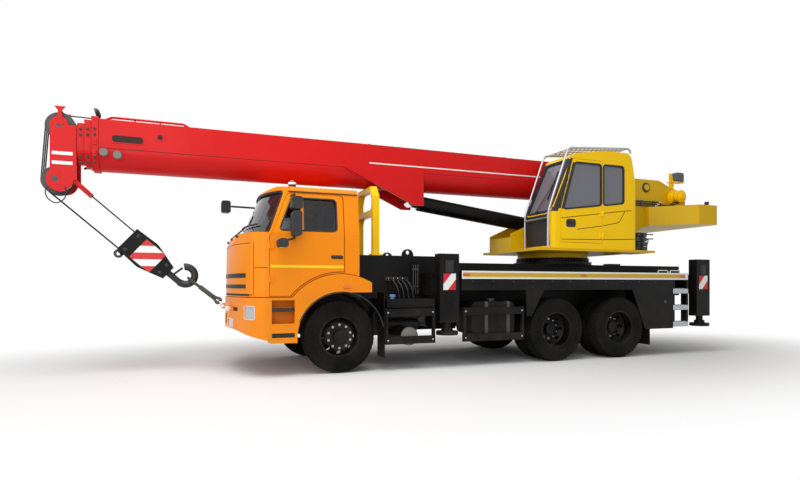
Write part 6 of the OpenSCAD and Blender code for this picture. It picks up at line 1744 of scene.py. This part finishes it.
class CRANE_OT_hook_fittings(bpy.types.Operator):
    """Add the hook block's barred plates, bolts, lug, latch and sling"""

    bl_idname = "crane.add_hook_fittings"
    bl_label = "Hook Fittings"

    def execute(self, context):
        self.plates()
        bolt = bolt_head(0.018, 0.018, (0, BLOCK_FACE_Y, -1.25), LEFT)
        bolts = bolt.repeated([(-0.13, 0, 0), (0.13, 0, 0), (0.07, 0, -0.55), (-0.07, 0, -0.55)])
        lug = ring_of(rectangle(-0.02, 0.02, 0.028, 0.062), (0.235, 0, -1.215), LEFT, 24)
        web = block((0.17, -0.02, -1.275), (0.225, 0.02, -1.195), 0.004)
        latch = rod((-0.02, 0, -1.955), (-0.19, 0, -1.985), 0.015)
        pin = rod((-0.03, -0.06, -1.955), (-0.03, 0.06, -1.955), 0.012)
        form = on_falls(bolts.both_sides() + lug + web + latch + pin)
        piece("hook_block_fittings", "hook_on_falls", "hook_iron", form)
        self.sling()
        return {"FINISHED"}

    def plates(self):
        """A plate on each cheek of the block, whose bars lie level in the stowed pose."""
        corners = np.array([(-0.17, -1.36), (0.17, -1.36), (0.17, -1.70), (-0.17, -1.70)])
        lean = math.radians(FALL_ANGLE)
        height = corners @ (-math.sin(lean), math.cos(lean))
        share = (height - height.min()) / np.ptp(height)
        uv = np.stack([np.zeros(4), share], -1)
        for name, s in SIDES.items():
            points = in_plane(corners, s * (BLOCK_FACE_Y + 0.003))
            hung = on_falls(Form(points, [])).points
            plate(f"hook_plate_{name}", "hook_on_falls", "hook_bands", hung[::s], uv[::s])

    def sling(self):
        """A taut sling from the hook's bowl to the bow of the tow shackle, with an eye at each end."""
        start = on_falls(Form(HOOK_STOCK, [])).points[0]
        end = TOW_EYE + BOW_REACH * BOW_LEAN
        way = unit(end - start)
        across = unit(np.cross(LEFT, way))
        fall_side = turns(LEFT, [FALL_ANGLE])[0] @ (1, 0, 0)
        tips = start + 0.26 * way, end - 0.16 * way
        high = eye(start, tips[0], fall_side, HOOK_STOCK_R + SLING_R + 0.003)
        low = eye(end, tips[1], np.cross(way, across), SHACKLE_EYE_R)
        roped("sling_eyes", "hook_on_falls", "sling_web", [(high, True), (low, True)], SLING_R)
        leg = np.linspace(tips[0] - 0.04 * way, tips[1] + 0.04 * way, 24)
        roped("sling", "hook_on_falls", "sling_web", [(leg, False)], SLING_LEG_R)


CAMERA = (2.10, 8.90, 1.26)
SENSOR_WIDTH = 36
FLOOR_HALF = 60


def at(x, y, z):
    """A place in the frame."""
    return ORIGIN + (x, y, z)


class CRANE_OT_stage(bpy.types.Operator):
    """Set the camera, the floor, the backdrop and the studio light"""

    bl_idname = "crane.add_stage"
    bl_label = "Stage"

    def execute(self, context):
        scene, stage = context.scene, context.scene.crane_stage
        scene.view_settings.view_transform = "Standard"
        self.camera(scene, stage)
        self.floor(scene, stage)
        self.world(scene, stage)
        self.lamp(scene, "key", at(2.0, 3.5, 9.5), at(-1.0, 0.2, 1.0), 8.0, stage.key)
        self.lamp(scene, "fill", at(4.5, 11.0, 4.0), at(-2.0, 0, 1.6), 7.0, stage.fill)
        self.lamp(scene, "front", at(11.0, 3.0, 4.0), at(0.5, 0, 1.8), 5.0, 0.6 * stage.fill)
        return {"FINISHED"}

    def camera(self, scene, stage):
        data = bpy.data.cameras.new("camera")
        data.sensor_width = SENSOR_WIDTH
        data.lens = stage.lens
        data.shift_y = stage.rise
        data.clip_end = 200
        camera = bpy.data.objects.new("camera", data)
        camera.location = at(*CAMERA)
        camera.rotation_euler = (math.radians(90), 0, stage.heading)
        scene.collection.objects.link(camera)
        scene.camera = camera

    def floor(self, scene, stage):
        """A wide flat sheet that fades to plain white away from the truck."""
        span = np.linspace(-FLOOR_HALF, FLOOR_HALF, 9)
        x, y = np.meshgrid(span, span, indexing="ij")
        form = open_sheet(coords(x, y, 0)[::-1])
        mesh = bpy.data.meshes.new("floor")
        mesh.from_pydata(form.points.tolist(), [], form.faces[0].tolist())
        paint = {"base_color": (*stage.floor, 1), "roughness": 0.9, "specular_ior_level": 0.0}
        tree, shader = new_material("floor", **paint)
        place = laid(tree, "Mapping", values={"Location": (0.02, 0, 0), "Scale": (0.11, 0.2, 0)})
        reach = add(tree, "VectorMath", operation="LENGTH", values={0: place.outputs[0]})
        fade = ranged(tree, reach.outputs["Value"], 0.55, 1.15, interpolation_type="SMOOTHSTEP")
        glow = add(tree, "Emission", values={"Color": (1, 1, 1, 1), "Strength": 1.0}).outputs[0]
        share = maths(tree, "MULTIPLY", fade, self.seen(tree))
        blend = add(tree, "MixShader", values={0: share, 1: shader.outputs[0], 2: glow})
        put(tree, tree.nodes["Material Output"].inputs["Surface"], blend.outputs[0])
        mesh.materials.append(FINISHES["floor"])
        floor = bpy.data.objects.new("floor", mesh)
        scene.collection.objects.link(floor)

    def seen(self, tree):
        """1 for a ray from the camera, or from gloss or glass, and 0 for any other."""
        path = add(tree, "LightPath")
        seen = maths(tree, "MAXIMUM", path.outputs["Is Camera Ray"], path.outputs["Is Glossy Ray"])
        return maths(tree, "MAXIMUM", seen, path.outputs["Is Transmission Ray"])

    def world(self, scene, stage):
        """An even white sky, plain white where the camera, gloss or glass sees it."""
        world = bpy.data.worlds.new("studio")
        world.use_nodes = True
        tree = world.node_tree
        background = tree.nodes["Background"]
        put(tree, background.inputs["Color"], (1, 1, 1, 1))
        strength = ranged(tree, self.seen(tree), 0.0, 1.0, stage.sky, 1.0)
        put(tree, background.inputs["Strength"], strength)
        scene.world = world

    def lamp(self, scene, name, place, aim, size, power):
        data = bpy.data.lights.new(name, "AREA")
        data.shape = "DISK"
        data.size = size
        data.energy = power
        lamp = bpy.data.objects.new(name, data)
        scene.collection.objects.link(lamp)
        lamp.location = place
        direction = Vector(aim - place)
        lamp.rotation_euler = direction.to_track_quat("-Z", "Y").to_euler()


class CRANE_PT_looks(bpy.types.Panel):
    """Sidebar list of the crane's settings and pieces"""

    bl_idname = "CRANE_PT_looks"
    bl_label = "Truck Crane"
    bl_space_type = "VIEW_3D"
    bl_region_type = "UI"
    bl_category = "Crane"

    def draw(self, context):
        for group in (context.scene.crane_colours, context.scene.crane_sizes, context.scene.crane_stage):
            box = self.layout.box()
            for name in group.__annotations__:
                box.prop(group, name)
        for operator in OPERATORS:
            self.layout.operator(operator.bl_idname)


OPERATORS = (
    CRANE_OT_stage,
    CRANE_OT_finishes,
    CRANE_OT_tyres,
    CRANE_OT_wheel_studs,
    CRANE_OT_cab_glazing,
    CRANE_OT_cab_trim,
    CRANE_OT_lamps,
    CRANE_OT_seats,
    CRANE_OT_deck_fittings,
    CRANE_OT_chassis_fittings,
    CRANE_OT_operator_cab,
    CRANE_OT_upper_fittings,
    CRANE_OT_boom_fittings,
    CRANE_OT_hook_fittings,
)
SETTINGS = {"crane_colours": CraneColours, "crane_sizes": CraneSizes, "crane_stage": CraneStage}


def register():
    for group in SETTINGS.values():
        bpy.utils.register_class(group)
    for operator in OPERATORS:
        bpy.utils.register_class(operator)
    bpy.utils.register_class(CRANE_PT_looks)
    for name, group in SETTINGS.items():
        setattr(bpy.types.Scene, name, PointerProperty(type=group))


def unregister():
    for name in SETTINGS:
        delattr(bpy.types.Scene, name)
    bpy.utils.unregister_class(CRANE_PT_looks)
    for operator in reversed(OPERATORS):
        bpy.utils.unregister_class(operator)
    for group in reversed(SETTINGS.values()):
        bpy.utils.unregister_class(group)


def main():
    register()
    for operator in OPERATORS:
        family, name = operator.bl_idname.split(".")
        getattr(getattr(bpy.ops, family), name)()


if __name__ == "__main__":
    main()
